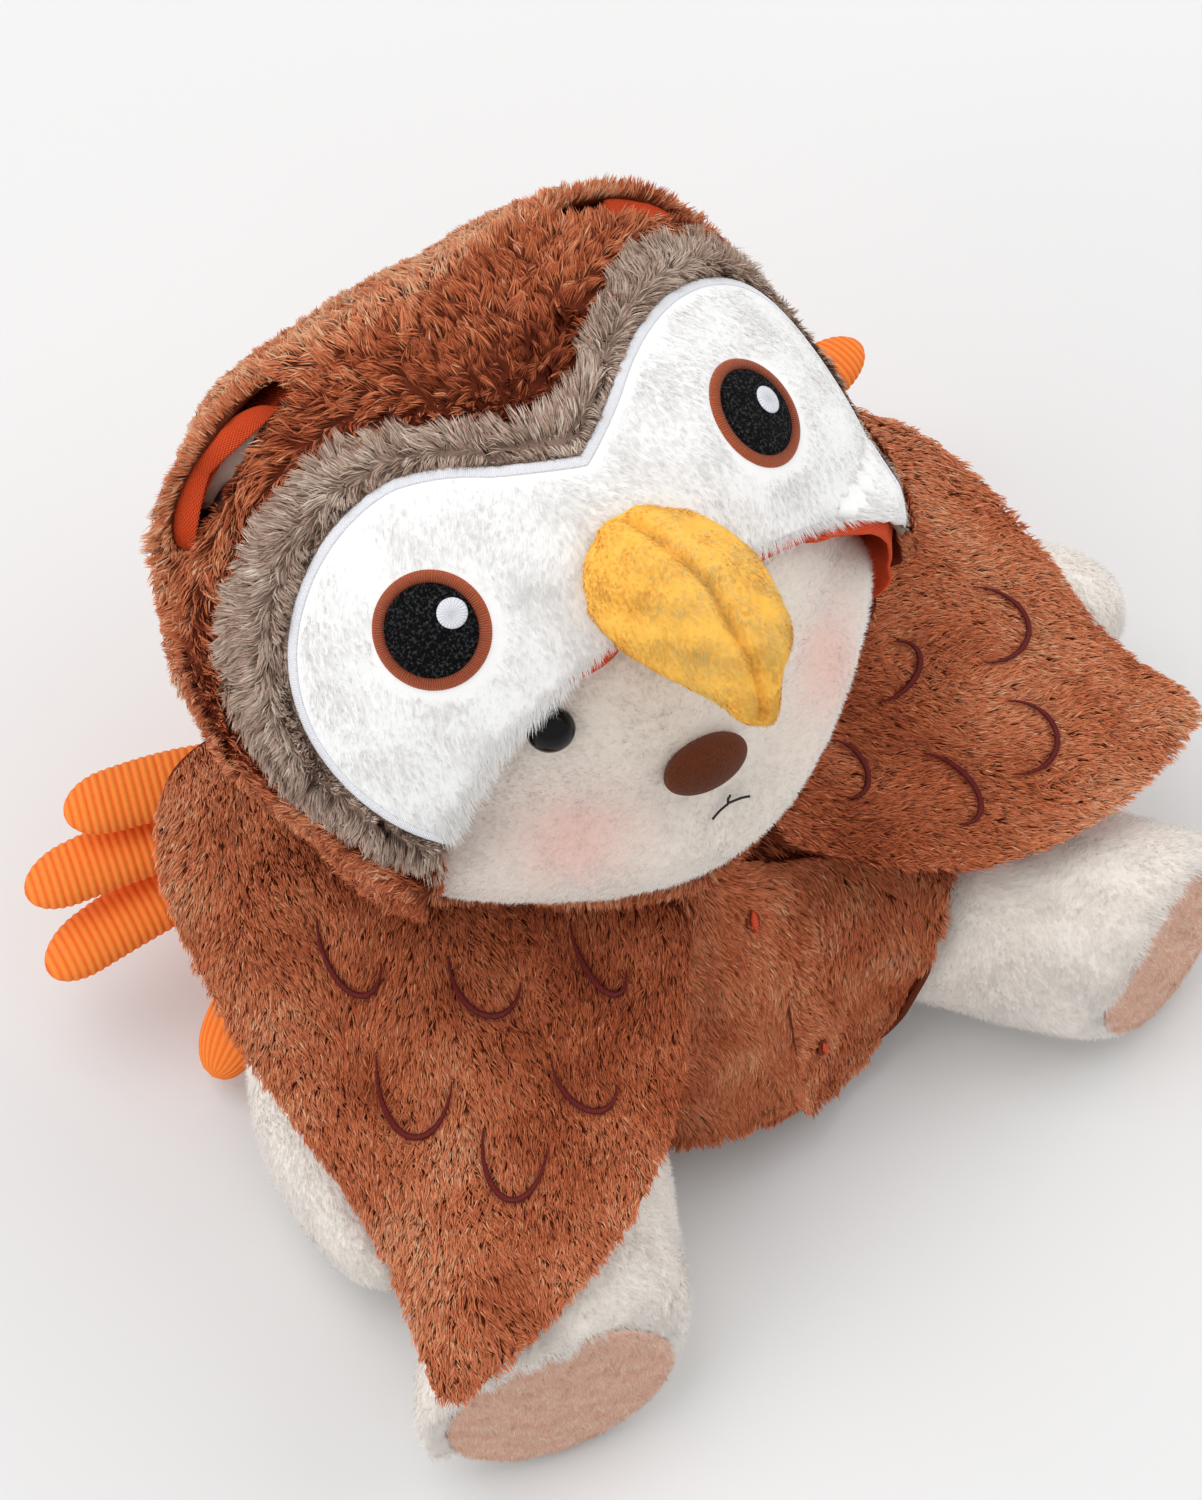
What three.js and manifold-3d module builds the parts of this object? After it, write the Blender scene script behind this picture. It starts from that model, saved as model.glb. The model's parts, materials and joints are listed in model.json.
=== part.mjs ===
// A seated plush teddy bear in a hooded bird costume, in millimetres.
// +Z is up, the bear faces -Y, its left side is +X, and the origin is on the floor under its seat.
import * as THREE from 'three';
import { mergeVertices } from 'three/addons/utils/BufferGeometryUtils.js';
import Module from 'manifold-3d';

const wasm = await Module();
wasm.setup();

// Cloth and clearances
const seamGap = 0.3;
const plushWall = 3;
const liningWall = 1;
const wingWall = 3.2;
const swingGap = 1.6;

// Head: radii from side to side, front to back and top to bottom
const headCentre = new THREE.Vector3(0, 44, 175);
const headRadii = new THREE.Vector3(88, 80, 77);
const headTurn = THREE.MathUtils.degToRad(-3);
const muzzleBulge = 9;
const muzzleDrop = THREE.MathUtils.degToRad(18);
const muzzleSpread = 0.42;
const backFlat = 9;
const backAim = new THREE.Vector3(0, 0.95, 0.3);
const backSpread = 0.5;
const earRoom = 3.2;

// The hood stands off the head at its ear corners and at the corners of the face opening
const earCorner = 6;
const cornerAim = new THREE.Vector3(0.66, 0.52, 0.5);
const cornerSpread = 0.4;
const cheekFlare = 6;
const flareAim = new THREE.Vector3(0.775, -0.628, 0.077);
const flareSpread = 0.36;

// Safety eyes and nose, each held by a stem and a lock washer inside the head
const eyeRadius = 6;
const eyeSides = { right: THREE.MathUtils.degToRad(-28.5), left: THREE.MathUtils.degToRad(14.5) };
const eyeRise = THREE.MathUtils.degToRad(27);
const noseHalfWidth = 11;
const noseHalfHeight = 7.4;
const noseSide = THREE.MathUtils.degToRad(-4);
const noseRise = THREE.MathUtils.degToRad(6.5);
const faceDomeDepth = 4.5;
const stemRadius = 2;
const stemLength = 15;
const washerRadius = 7;
const washerThickness = 2;
const washerDepth = 8;

// Ears, folded back flat under the hood, and the slots that they can be drawn out through
const earRadius = 24;
const earAim = new THREE.Vector3(-0.58, 0.71, 0.4);
const slotAim = new THREE.Vector3(-0.69, 0.38, 0.62);
const slotHalfLength = 25;
const slotHalfWidth = 8;
const slotRun = new THREE.Vector3(-0.76, -0.17, -0.62);

// Hood front, drawn on a plane square to the mask and centred on the head
const maskTilt = THREE.MathUtils.degToRad(38);
const lobeOffset = 40;
const lobeRise = 10;
const lobeStart = THREE.MathUtils.degToRad(117);
const lobeEnd = THREE.MathUtils.degToRad(-100);
const maskLobe = new THREE.Vector2(48, 46.5);
const maskNotch = 44;
const bandLobe = new THREE.Vector2(52.5, 55);
const bandNotch = 54;
const openingDrop = 40;
const openingHalfWidth = 77;
const openingTop = 46;
const openingBottom = 42;
const neckHoleRadius = 50;

// Beak: half width, half height and the centre of each section, from the head's centre
const beakSections = [
  { at: new THREE.Vector3(0, -40, 56), wide: 18, deep: 17 },
  { at: new THREE.Vector3(0, -56, 63), wide: 19.5, deep: 17 },
  { at: new THREE.Vector3(0, -74, 63), wide: 17, deep: 14.5 },
  { at: new THREE.Vector3(0, -90, 58), wide: 11, deep: 10.5 },
  { at: new THREE.Vector3(0, -99, 54), wide: 6, deep: 6 },
  { at: new THREE.Vector3(0, -102, 52), wide: 2, deep: 2 },
];

// Torso sections from the flat seat to the neck
const torsoSections = [
  { at: new THREE.Vector3(0, -6, 0), wide: 46, deep: 50 },
  { at: new THREE.Vector3(0, -6, 10), wide: 55, deep: 58 },
  { at: new THREE.Vector3(0, -3, 30), wide: 60, deep: 62 },
  { at: new THREE.Vector3(0, 2, 55), wide: 57, deep: 57 },
  { at: new THREE.Vector3(0, 9, 78), wide: 47, deep: 47 },
  { at: new THREE.Vector3(0, 15, 93), wide: 36, deep: 38 },
  { at: new THREE.Vector3(0, 20, 103), wide: 22, deep: 24 },
];
const tunicRoom = 1;
const tunicWall = 4;
const hemHeight = 1.2;

// Front closure: a placket over a pair of hook-and-loop tapes
const placketHalfWidth = 11;
const placketWall = 2.4;
const placketLow = 8;
const placketHigh = 92;
const tapeHalfWidth = 5;
const tapeWall = 0.8;
const tapeLow = 22;
const tapeHigh = 80;

// Legs turn out from straight ahead; the soles look up a little, and the left one is turned in
const hip = new THREE.Vector3(41, -23, 34);
const hipBall = 24;
const legSections = [
  { along: 0, wide: 23, deep: 23 },
  { along: 30, wide: 30, deep: 29 },
  { along: 62, wide: 35, deep: 33 },
  { along: 86, wide: 38, deep: 34.5 },
  { along: 99, wide: 37, deep: 34 },
  { along: 105, wide: 34, deep: 32 },
];
const legLift = 0.5;
const rightLegSplay = THREE.MathUtils.degToRad(42);
const leftLegSplay = THREE.MathUtils.degToRad(39);
const soleTilt = THREE.MathUtils.degToRad(10);
const soleTurns = { right: 0, left: THREE.MathUtils.degToRad(-20) };
const legSwingIn = THREE.MathUtils.degToRad(12);
const legSwingOut = THREE.MathUtils.degToRad(2);
const padHalfWidth = 31;
const padHalfHeight = 30;
const padWall = 2;

// Arms: the right one hangs forward, the left one is held out
const shoulder = new THREE.Vector3(50, 14, 64);
const shoulderBall = 20;
const armLift = THREE.MathUtils.degToRad(11);
const armAcross = new THREE.Vector3(0.6, 0.8, 0);
const rightArmSections = [
  { at: new THREE.Vector3(-50, 14, 64), wide: 19, deep: 19 },
  { at: new THREE.Vector3(-76, 24, 54), wide: 22, deep: 21 },
  { at: new THREE.Vector3(-99, 20, 45), wide: 22, deep: 22 },
  { at: new THREE.Vector3(-115, 2, 36), wide: 21, deep: 22 },
  { at: new THREE.Vector3(-123, -18, 31), wide: 19, deep: 22 },
  { at: new THREE.Vector3(-128, -36, 29), wide: 14, deep: 17 },
  { at: new THREE.Vector3(-129, -46, 28), wide: 5, deep: 7 },
];
const leftArmSections = [
  { at: new THREE.Vector3(50, 14, 64), wide: 19, deep: 19 },
  { at: new THREE.Vector3(76, 16, 63), wide: 22, deep: 21 },
  { at: new THREE.Vector3(103, 10, 61), wide: 23, deep: 22 },
  { at: new THREE.Vector3(128, -3, 59), wide: 24, deep: 23 },
  { at: new THREE.Vector3(148, -17, 57), wide: 24, deep: 23 },
  { at: new THREE.Vector3(161, -27, 56), wide: 19, deep: 18 },
  { at: new THREE.Vector3(169, -33, 55), wide: 7, deep: 7 },
];

// Wings: the neckline, the outer edge and the inner edge of each cloth, and how it swells and folds
const wingCrown = 11;
const wingFold = 1.8;
const wingFolds = 2;
const rightWingEdges = {
  neckline: [[-44, 80, 102], [-46, 22, 96], [-10, -37, 103]],
  outer: [[-44, 80, 102], [-92, 90, 103], [-115, 60, 92], [-124, 16, 79], [-126, -38, 72], [-143, -88, 65]],
  inner: [[-10, -37, 103], [-22, -50, 92], [-38, -66, 82], [-64, -83, 76], [-102, -93, 76], [-139, -94, 67]],
};
const leftWingEdges = {
  neckline: [[44, 80, 102], [46, 22, 96], [20, -37, 103]],
  outer: [[44, 80, 102], [100, 82, 104], [134, 48, 104], [146, 12, 97], [143, -38, 82], [153, -68, 70]],
  inner: [[20, -37, 103], [32, -46, 93], [46, -58, 84], [66, -73, 80], [104, -84, 79], [150, -76, 71]],
};

// Tail: a stuffed pad on the back of the tunic and a fan of feather fingers
const tailCentre = new THREE.Vector3(0, 66, 46);
const tailHalf = new THREE.Vector3(62, 12, 30);
const featherHalfWidth = 10;
const featherHalfDepth = 7;
const featherTips = {
  right: [[-117, 106, 80], [-136, 103, 60], [-142, 89, 40], [-121, 43, 13]],
  left: [[117, 106, 80], [166, 85, 66], [142, 89, 40], [121, 43, 13]],
};
const featherRoots = [[38, 70, 62], [48, 70, 54], [50, 70, 44], [46, 70, 32]];
const featherBend = 10;
const featherSteps = [0, 0.3, 0.6, 0.86, 0.97, 1];
const featherSwells = [0.75, 0.95, 1, 0.85, 0.5, 0.15];

// Facets
const roundSides = 14;
const smallSides = 10;
const headSides = 24;
const headRings = 14;
const outlineSteps = 8;
const torsoSides = 18;
const torsoRings = 9;
const limbRings = 8;
const featherSides = 8;
const featherRings = 6;
const wingSteps = [10, 8];
const mergeTolerance = 1e-4;

const group = new THREE.Group();
const up = new THREE.Vector3(0, 0, 1);
const fullTurn = 2 * Math.PI;
const farReach = 260;

// Cloth and plastic finishes
function finish(color, roughness, metalness = 0) {
  return new THREE.MeshStandardMaterial({ color, roughness, metalness });
}
const whitePlush = finish(0xe8dfd5, 0.95);
const brownPlush = finish(0x8d432d, 0.95);
const taupePlush = finish(0xa88b7e, 0.95);
const maskPlush = finish(0xf0eeec, 0.95);
const beakPlush = finish(0xfdc456, 0.9);
const solePlush = finish(0xcea692, 0.95);
const orangeTwill = finish(0xcb3a1b, 0.8);
const orangeCord = finish(0xf86d2d, 0.85);
const blackGloss = finish(0x0d0d0e, 0.1);
const brownFlock = finish(0x572814, 0.9);
const clearPlastic = finish(0xdadada, 0.4);
const tapeNylon = finish(0x8a3a24, 0.8);

// A closed solid from a closed geometry, with its faces turned outwards
function solid(geometry) {
  const bare = geometry.clone();
  bare.deleteAttribute('normal');
  bare.deleteAttribute('uv');
  const merged = mergeVertices(bare, mergeTolerance);
  const places = new Float32Array(merged.attributes.position.array);
  const corners = new Uint32Array(merged.index.array);
  let volume = 0;
  const [a, b, c] = [new THREE.Vector3(), new THREE.Vector3(), new THREE.Vector3()];
  for (let i = 0; i < corners.length; i += 3) {
    a.fromArray(places, 3 * corners[i]);
    b.fromArray(places, 3 * corners[i + 1]);
    c.fromArray(places, 3 * corners[i + 2]);
    volume += a.dot(b.cross(c));
  }
  if (volume < 0) {
    for (let i = 0; i < corners.length; i += 3) {
      [corners[i], corners[i + 1]] = [corners[i + 1], corners[i]];
    }
  }
  return new wasm.Manifold(new wasm.Mesh({ numProp: 3, vertProperties: places, triVerts: corners }));
}

function addPiece(name, body, material) {
  const faces = body.getMesh();
  const geometry = new THREE.BufferGeometry();
  geometry.setAttribute('position', new THREE.BufferAttribute(faces.vertProperties, 3));
  geometry.setIndex(new THREE.BufferAttribute(faces.triVerts, 1));
  geometry.computeVertexNormals();
  const piece = new THREE.Mesh(geometry, material);
  piece.name = name;
  group.add(piece);
  return piece;
}

function vectors(rows) {
  return rows.map((row) => new THREE.Vector3(...row));
}

// A form lofted through oval sections, with flat ends: u runs from the first section to the last
function loft(sections, across, upward, sides, rings, grow = 0) {
  const spine = new THREE.CatmullRomCurve3(sections.map((section) => section.at));
  const sizes = sections.map((section) => new THREE.Vector2(section.wide, section.deep));
  const ovals = new THREE.SplineCurve(sizes);
  const tilts = sections.map((section, i) => new THREE.Vector2(i, section.lean ?? 0));
  const leans = new THREE.SplineCurve(tilts);
  const turns = new THREE.SplineCurve(sections.map((section, i) => new THREE.Vector2(i, section.turn ?? 0)));
  const skin = new THREE.CylinderGeometry(1, 1, 1, sides, rings);
  const places = skin.attributes.position;
  const point = new THREE.Vector3();
  for (let i = 0; i < places.count; i += 1) {
    const u = THREE.MathUtils.clamp(0.5 - places.getY(i), 0, 1);
    const oval = ovals.getPoint(u);
    spine.getPoint(u, point);
    const turned = across.clone().applyAxisAngle(upward, turns.getPoint(u).y);
    point.addScaledVector(turned, places.getX(i) * (oval.x + grow));
    const tilted = upward.clone().applyAxisAngle(turned, leans.getPoint(u).y);
    point.addScaledVector(tilted, places.getZ(i) * (oval.y + grow));
    places.setXYZ(i, point.x, point.y, point.z);
  }
  return skin;
}

function ball(centre, radii, sides = roundSides) {
  const skin = new THREE.SphereGeometry(1, sides, sides / 2);
  skin.scale(radii.x, radii.y, radii.z);
  skin.translate(centre.x, centre.y, centre.z);
  return skin;
}

function sameRadii(radius) {
  return new THREE.Vector3(radius, radius, radius);
}

// A faceted socket is a little larger, to clear a faceted ball that turns in it
const facetSlack = 1 / Math.cos(Math.PI / roundSides) ** 2;
function socket(centre, radius, gap) {
  return solid(ball(centre, sameRadii((radius + gap) * facetSlack)));
}

// A geometry drawn along +Z, turned to look along aim and moved to a place
function aimed(geometry, place, aim) {
  const turn = new THREE.Quaternion().setFromUnitVectors(up, aim.clone().normalize());
  const pose = new THREE.Matrix4().compose(place, turn, new THREE.Vector3(1, 1, 1));
  return geometry.clone().applyMatrix4(pose);
}

function rod(radius, low, high, sides = smallSides) {
  const skin = new THREE.CylinderGeometry(radius, radius, high - low, sides);
  skin.rotateX(Math.PI / 2);
  skin.translate(0, 0, (low + high) / 2);
  return skin;
}

function turnedAbout(geometry, pivot, axis, angle) {
  const pose = new THREE.Matrix4().makeTranslation(pivot.x, pivot.y, pivot.z);
  pose.multiply(new THREE.Matrix4().makeRotationAxis(axis, angle));
  pose.multiply(new THREE.Matrix4().makeTranslation(-pivot.x, -pivot.y, -pivot.z));
  return geometry.clone().applyMatrix4(pose);
}

function cutAll(body, cutters) {
  return cutters.reduce((left, cutter) => left.subtract(cutter), body);
}

// Head surface at an offset outside the plush, with the muzzle swollen forwards and down
const muzzleAim = new THREE.Vector3(0, -Math.cos(muzzleDrop), -Math.sin(muzzleDrop));
const headPose = new THREE.Matrix4().makeTranslation(headCentre.x, headCentre.y, headCentre.z);
headPose.multiply(new THREE.Matrix4().makeRotationZ(headTurn));

function bump(aim, centre, height, spread) {
  const away = aim.angleTo(centre) / spread;
  return height * Math.exp(-away * away);
}

function headPoint(aim, offset, isCloth = false) {
  const unit = aim.clone().normalize();
  const radii = headRadii.clone().addScalar(offset);
  let rise = bump(unit, muzzleAim, muzzleBulge, muzzleSpread) - bump(unit, backAim, backFlat, backSpread);
  if (isCloth) {
    const folded = unit.clone().setX(Math.abs(unit.x));
    rise += bump(folded, cornerAim, earCorner, cornerSpread);
    rise += bump(folded, flareAim, cheekFlare, flareSpread);
  }
  return unit.clone().multiply(radii).addScaledVector(unit, rise);
}

function headSkin(offset, isCloth = false) {
  const skin = new THREE.SphereGeometry(1, headSides, headRings);
  skin.rotateX(Math.PI / 2);
  const places = skin.attributes.position;
  const aim = new THREE.Vector3();
  for (let i = 0; i < places.count; i += 1) {
    aim.fromBufferAttribute(places, i);
    const point = headPoint(aim, offset, isCloth);
    places.setXYZ(i, point.x, point.y, point.z);
  }
  return skin.applyMatrix4(headPose);
}

function onHead(geometry) {
  return geometry.clone().applyMatrix4(headPose);
}

const liningInside = earRoom;
const liningOutside = liningInside + liningWall;
const hoodInside = liningOutside + seamGap;
const hoodOutside = hoodInside + plushWall;

// Hood front outlines
function lobedShape(lobe, notch, grow) {
  const [wide, high] = [lobe.x + grow, lobe.y + grow];
  const arc = new THREE.EllipseCurve(lobeOffset, lobeRise, wide, high, lobeStart, lobeEnd, true);
  const side = arc.getPoints(roundSides);
  const mirrored = side.map((point) => new THREE.Vector2(-point.x, point.y)).reverse();
  const notchPoint = new THREE.Vector2(0, notch + grow);
  return new THREE.Shape([notchPoint, ...side, ...mirrored]);
}

function openingShape(grow) {
  const shape = new THREE.Shape();
  shape.absellipse(0, -openingDrop, openingHalfWidth + grow, openingTop + grow, 0, Math.PI);
  shape.absellipse(0, -openingDrop, openingHalfWidth + grow, openingBottom + grow, Math.PI, fullTurn);
  return shape;
}

const maskBasis = new THREE.Matrix4().makeBasis(
  new THREE.Vector3(1, 0, 0),
  new THREE.Vector3(0, Math.sin(maskTilt), Math.cos(maskTilt)),
  new THREE.Vector3(0, -Math.cos(maskTilt), Math.sin(maskTilt)),
);

// A flat shape drawn out square to its plane, with plain edges
function drawnOut(shape, depth, curveSegments) {
  return new THREE.ExtrudeGeometry(shape, { depth, curveSegments, bevelEnabled: false });
}

function frontPrism(shape) {
  return solid(onHead(drawnOut(shape, farReach, outlineSteps).applyMatrix4(maskBasis)));
}

function mirroredX(vector, side) {
  return new THREE.Vector3(-side * vector.x, vector.y, vector.z);
}

const sides = [
  { name: 'right', sign: -1 },
  { name: 'left', sign: 1 },
];

// Safety eyes and nose: what stands on the face, its stem and the pocket it needs
function facePiece(aim, halfWidth, halfHeight) {
  const seat = headPoint(aim, 0);
  const place = seat.clone().applyMatrix4(headPose);
  const outward = aim.clone().transformDirection(headPose);
  const dome = ball(new THREE.Vector3(), new THREE.Vector3(halfWidth, halfHeight, faceDomeDepth));
  const domeBody = solid(aimed(dome, place, outward)).subtract(solid(headSkin(seamGap)));
  const stem = solid(aimed(rod(stemRadius, -stemLength, faceDomeDepth / 2), place, outward));
  const bore = solid(aimed(rod(stemRadius + seamGap, -stemLength - seamGap, faceDomeDepth), place, outward));
  const low = -washerDepth - washerThickness;
  const disc = solid(aimed(rod(washerRadius, low, -washerDepth), place, outward));
  const room = rod(washerRadius + seamGap, low - seamGap, -washerDepth + seamGap);
  const pocket = solid(aimed(room, place, outward));
  return { body: domeBody.add(stem), washer: disc.subtract(bore), hollow: bore.add(pocket) };
}

function aimAt(side, rise) {
  const level = Math.cos(rise);
  return new THREE.Vector3(Math.sin(side) * level, -Math.cos(side) * level, Math.sin(rise));
}

const nose = facePiece(aimAt(noseSide, noseRise), noseHalfWidth, noseHalfHeight);
const hollows = [nose.hollow];
addPiece('nose', nose.body, brownFlock);
addPiece('nose_washer', nose.washer, clearPlastic);
for (const side of sides) {
  const eye = facePiece(aimAt(eyeSides[side.name], eyeRise), eyeRadius, eyeRadius);
  hollows.push(eye.hollow);
  addPiece(`${side.name}_eye`, eye.body, blackGloss);
  addPiece(`${side.name}_eye_washer`, eye.washer, clearPlastic);
}
addPiece('head', cutAll(solid(headSkin(0)), hollows), whitePlush);

// Ears lie flat between the head and the lining, behind the slots
for (const side of sides) {
  const aim = mirroredX(earAim, side.sign);
  const post = solid(onHead(aimed(rod(earRadius, 0, farReach, roundSides), new THREE.Vector3(), aim)));
  const pad = solid(headSkin(liningInside - seamGap, true)).subtract(solid(headSkin(seamGap)));
  addPiece(`${side.name}_ear`, pad.intersect(post), whitePlush);
}

// Ear slots and the neck hole go through the hood and its lining
function slotFrame(side) {
  const aim = mirroredX(slotAim, side.sign).normalize();
  const run = mirroredX(slotRun, side.sign).normalize();
  const across = new THREE.Vector3().crossVectors(aim, run).normalize();
  const along = new THREE.Vector3().crossVectors(across, aim);
  return { aim, across, along };
}

function slotCutter(side) {
  const { aim, across, along } = slotFrame(side);
  const oval = new THREE.Shape();
  oval.absellipse(0, 0, slotHalfLength, slotHalfWidth, 0, fullTurn);
  const prism = drawnOut(oval, farReach, smallSides);
  prism.applyMatrix4(new THREE.Matrix4().makeBasis(along, across, aim));
  return solid(onHead(prism));
}

// The hood's seam runs through both slots: all that lies behind it, moved back by a gap
function behindSeam(gap) {
  const [rightHalf, leftHalf] = sides.map((side) => {
    const block = new THREE.BoxGeometry(2 * farReach, 2 * farReach, farReach);
    block.translate(0, 0, farReach / 2 + gap);
    const backward = slotFrame(side).across.multiplyScalar(side.sign);
    return solid(onHead(aimed(block, new THREE.Vector3(), backward)));
  });
  return rightHalf.intersect(leftHalf);
}

const neckHole = solid(onHead(rod(neckHoleRadius, -farReach, -headRadii.z / 2, roundSides)));
const opening = frontPrism(openingShape(0));
const throughCuts = [opening, neckHole, ...sides.map(slotCutter)];
function clothShell(inside, outside) {
  return solid(headSkin(outside, true)).subtract(solid(headSkin(inside, true)));
}
const lining = clothShell(liningInside, liningOutside);
const plush = clothShell(hoodInside, hoodOutside);
const bandCut = frontPrism(lobedShape(bandLobe, bandNotch, seamGap / 2));
const bandFill = frontPrism(lobedShape(bandLobe, bandNotch, -seamGap / 2));
const maskCut = frontPrism(lobedShape(maskLobe, maskNotch, seamGap / 2));
const maskFill = frontPrism(lobedShape(maskLobe, maskNotch, -seamGap / 2));
addPiece('hood_lining', cutAll(lining, throughCuts), orangeTwill);
const hood = cutAll(plush, [...throughCuts, bandCut]);
addPiece('hood_front', hood.subtract(behindSeam(-seamGap / 2)), brownPlush);
addPiece('hood_back', hood.intersect(behindSeam(seamGap / 2)), brownPlush);
addPiece('brow_band', cutAll(plush.intersect(bandFill), [opening, maskCut]), taupePlush);
addPiece('mask', plush.intersect(maskFill).subtract(opening), maskPlush);

// Beak, seated on the mask
const acrossX = new THREE.Vector3(1, 0, 0);
const acrossY = new THREE.Vector3(0, 1, 0);
const beakSkin = onHead(loft(beakSections, acrossX, up, roundSides, limbRings));
addPiece('beak', solid(beakSkin).subtract(solid(headSkin(hoodOutside + seamGap, true))), beakPlush);

// Torso, with a ball-shaped seat for each limb so that the limb can swing
function torsoForm(grow) {
  return loft(torsoSections, acrossX, acrossY, torsoSides, torsoRings, grow);
}
const torsoGrown = torsoForm(seamGap);

function legForm(side, splay, grow) {
  const along = new THREE.Vector3(side.sign * Math.sin(splay), -Math.cos(splay), 0);
  const across = new THREE.Vector3(Math.cos(splay), side.sign * Math.sin(splay), 0);
  const root = mirroredX(hip, -side.sign);
  const sections = legSections.map((section) => {
    const share = Math.pow(section.along / legSections.at(-1).along, 2);
    return {
      at: root.clone().addScaledVector(along, section.along).setZ(section.deep + legLift),
      wide: section.wide,
      deep: section.deep,
      lean: -soleTilt * share,
      turn: soleTurns[side.name] * share,
    };
  });
  return loft(sections, across, up, roundSides, limbRings, grow);
}

function limb(form, pivot, ballRadius, axis, angles) {
  const stops = angles.map((angle) => solid(turnedAbout(torsoGrown, pivot, axis, -angle)));
  return cutAll(solid(form), stops).add(solid(ball(pivot, sameRadii(ballRadius))));
}

function sweptCuts(form, pivot, axis, angles) {
  return angles.map((angle) => solid(turnedAbout(form, pivot, axis, angle)));
}

const splays = { right: rightLegSplay, left: leftLegSplay };
const armSections = { right: rightArmSections, left: leftArmSections };
const tunicCuts = [];
const seats = [solid(headSkin(2 * seamGap))];
for (const side of sides) {
  const splay = splays[side.name];
  const pivot = mirroredX(hip, -side.sign);
  const swings = [-side.sign * legSwingIn, 0, side.sign * legSwingOut];
  const leg = limb(legForm(side, splay, 0), pivot, hipBall, up, swings);
  addPiece(`${side.name}_leg`, leg, whitePlush);
  tunicCuts.push(...sweptCuts(legForm(side, splay, swingGap), pivot, up, swings));
  tunicCuts.push(socket(pivot, hipBall, swingGap));
  seats.push(socket(pivot, hipBall, seamGap));

  const last = legSections.at(-1);
  const along = new THREE.Vector3(side.sign * Math.sin(splay), -Math.cos(splay), 0);
  const sole = new THREE.Shape();
  sole.absellipse(0, 0, padHalfWidth, padHalfHeight, 0, fullTurn);
  const pad = drawnOut(sole, padWall, smallSides);
  const across = new THREE.Vector3(Math.cos(splay), side.sign * Math.sin(splay), 0);
  across.applyAxisAngle(up, soleTurns[side.name]);
  const upward = up.clone().applyAxisAngle(across, -soleTilt);
  const outward = new THREE.Vector3().crossVectors(upward, across).negate();
  const place = pivot.clone().addScaledVector(along, last.along).setZ(last.deep + legLift);
  place.addScaledVector(outward, seamGap);
  const soleBasis = new THREE.Matrix4().makeBasis(across.clone().negate(), upward, outward);
  pad.applyMatrix4(soleBasis.setPosition(place));
  addPiece(`${side.name}_foot_pad`, solid(pad), solePlush);

  const joint = mirroredX(shoulder, -side.sign);
  const lifts = [0, -side.sign * armLift];
  const flat = new THREE.Vector3(armAcross.x, side.sign * armAcross.y, 0);
  const sections = armSections[side.name];
  const armSkin = loft(sections, flat, up, roundSides, limbRings);
  addPiece(`${side.name}_arm`, limb(armSkin, joint, shoulderBall, acrossY, lifts), whitePlush);
  const armSweep = loft(sections, flat, up, roundSides, limbRings, swingGap);
  tunicCuts.push(...sweptCuts(armSweep, joint, acrossY, lifts));
  tunicCuts.push(socket(joint, shoulderBall, swingGap));
  seats.push(socket(joint, shoulderBall, seamGap));
}
addPiece('torso', cutAll(solid(torsoForm(0)), seats), whitePlush);

// Tunic: a shell round the torso, open at the hem and under the hood
const tunicOutside = tunicRoom + tunicWall;
function torsoShell(inside, outside) {
  return solid(torsoForm(outside)).subtract(solid(torsoForm(inside)));
}
function slab(halfWidth, front, back, low, high) {
  const box = new THREE.BoxGeometry(2 * halfWidth, back - front, high - low);
  box.translate(0, (front + back) / 2, (low + high) / 2);
  return solid(box);
}
const belowHem = slab(farReach, -farReach, farReach, -farReach, hemHeight);
const aboveCollar = slab(farReach, -farReach, farReach, placketHigh + seamGap, farReach);
const hoodForm = solid(headSkin(hoodOutside + seamGap, true));
const tunic = torsoShell(tunicRoom, tunicOutside);
addPiece('tunic', cutAll(tunic, [belowHem, aboveCollar, hoodForm, ...tunicCuts]), brownPlush);

// Front closure strips, each seated on the one below
function frontStrip(inside, wall, halfWidth, low, high) {
  return torsoShell(inside, inside + wall).intersect(slab(halfWidth, -farReach, 0, low, high));
}
const loopInside = tunicOutside + seamGap;
const hookInside = loopInside + tapeWall + seamGap;
const placketInside = hookInside + tapeWall + seamGap;
addPiece('loop_tape', frontStrip(loopInside, tapeWall, tapeHalfWidth, tapeLow, tapeHigh), tapeNylon);
addPiece('hook_tape', frontStrip(hookInside, tapeWall, tapeHalfWidth, tapeLow, tapeHigh), tapeNylon);
const placket = frontStrip(placketInside, placketWall, placketHalfWidth, placketLow, placketHigh);
addPiece('placket', placket, brownPlush);

// Wing cloth: t runs from the neckline to the tip, s from the outer edge to the inner edge
function wingSheet(edges, near, far, alongSteps, acrossSteps) {
  const neckline = new THREE.CatmullRomCurve3(vectors(edges.neckline));
  const outer = new THREE.CatmullRomCurve3(vectors(edges.outer));
  const inner = new THREE.CatmullRomCurve3(vectors(edges.inner));
  const sheet = new THREE.BoxGeometry(1, 1, 1, alongSteps, acrossSteps, 1);
  const places = sheet.attributes.position;
  for (let i = 0; i < places.count; i += 1) {
    const t = places.getX(i) + 0.5;
    const s = places.getY(i) + 0.5;
    const point = outer.getPoint(t).lerp(inner.getPoint(t), s);
    const straight = outer.getPoint(0).lerp(inner.getPoint(0), s);
    point.addScaledVector(neckline.getPoint(s).sub(straight), (1 - t) * (1 - t));
    const belly = Math.sin(Math.PI * s) * Math.sin(Math.PI * Math.sqrt(t));
    const folds = Math.sin(fullTurn * wingFolds * s) * Math.sin(Math.PI * t);
    point.z += wingCrown * belly + wingFold * folds;
    point.z -= places.getZ(i) > 0 ? near : far;
    places.setXYZ(i, point.x, point.y, point.z);
  }
  return solid(sheet);
}

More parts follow.
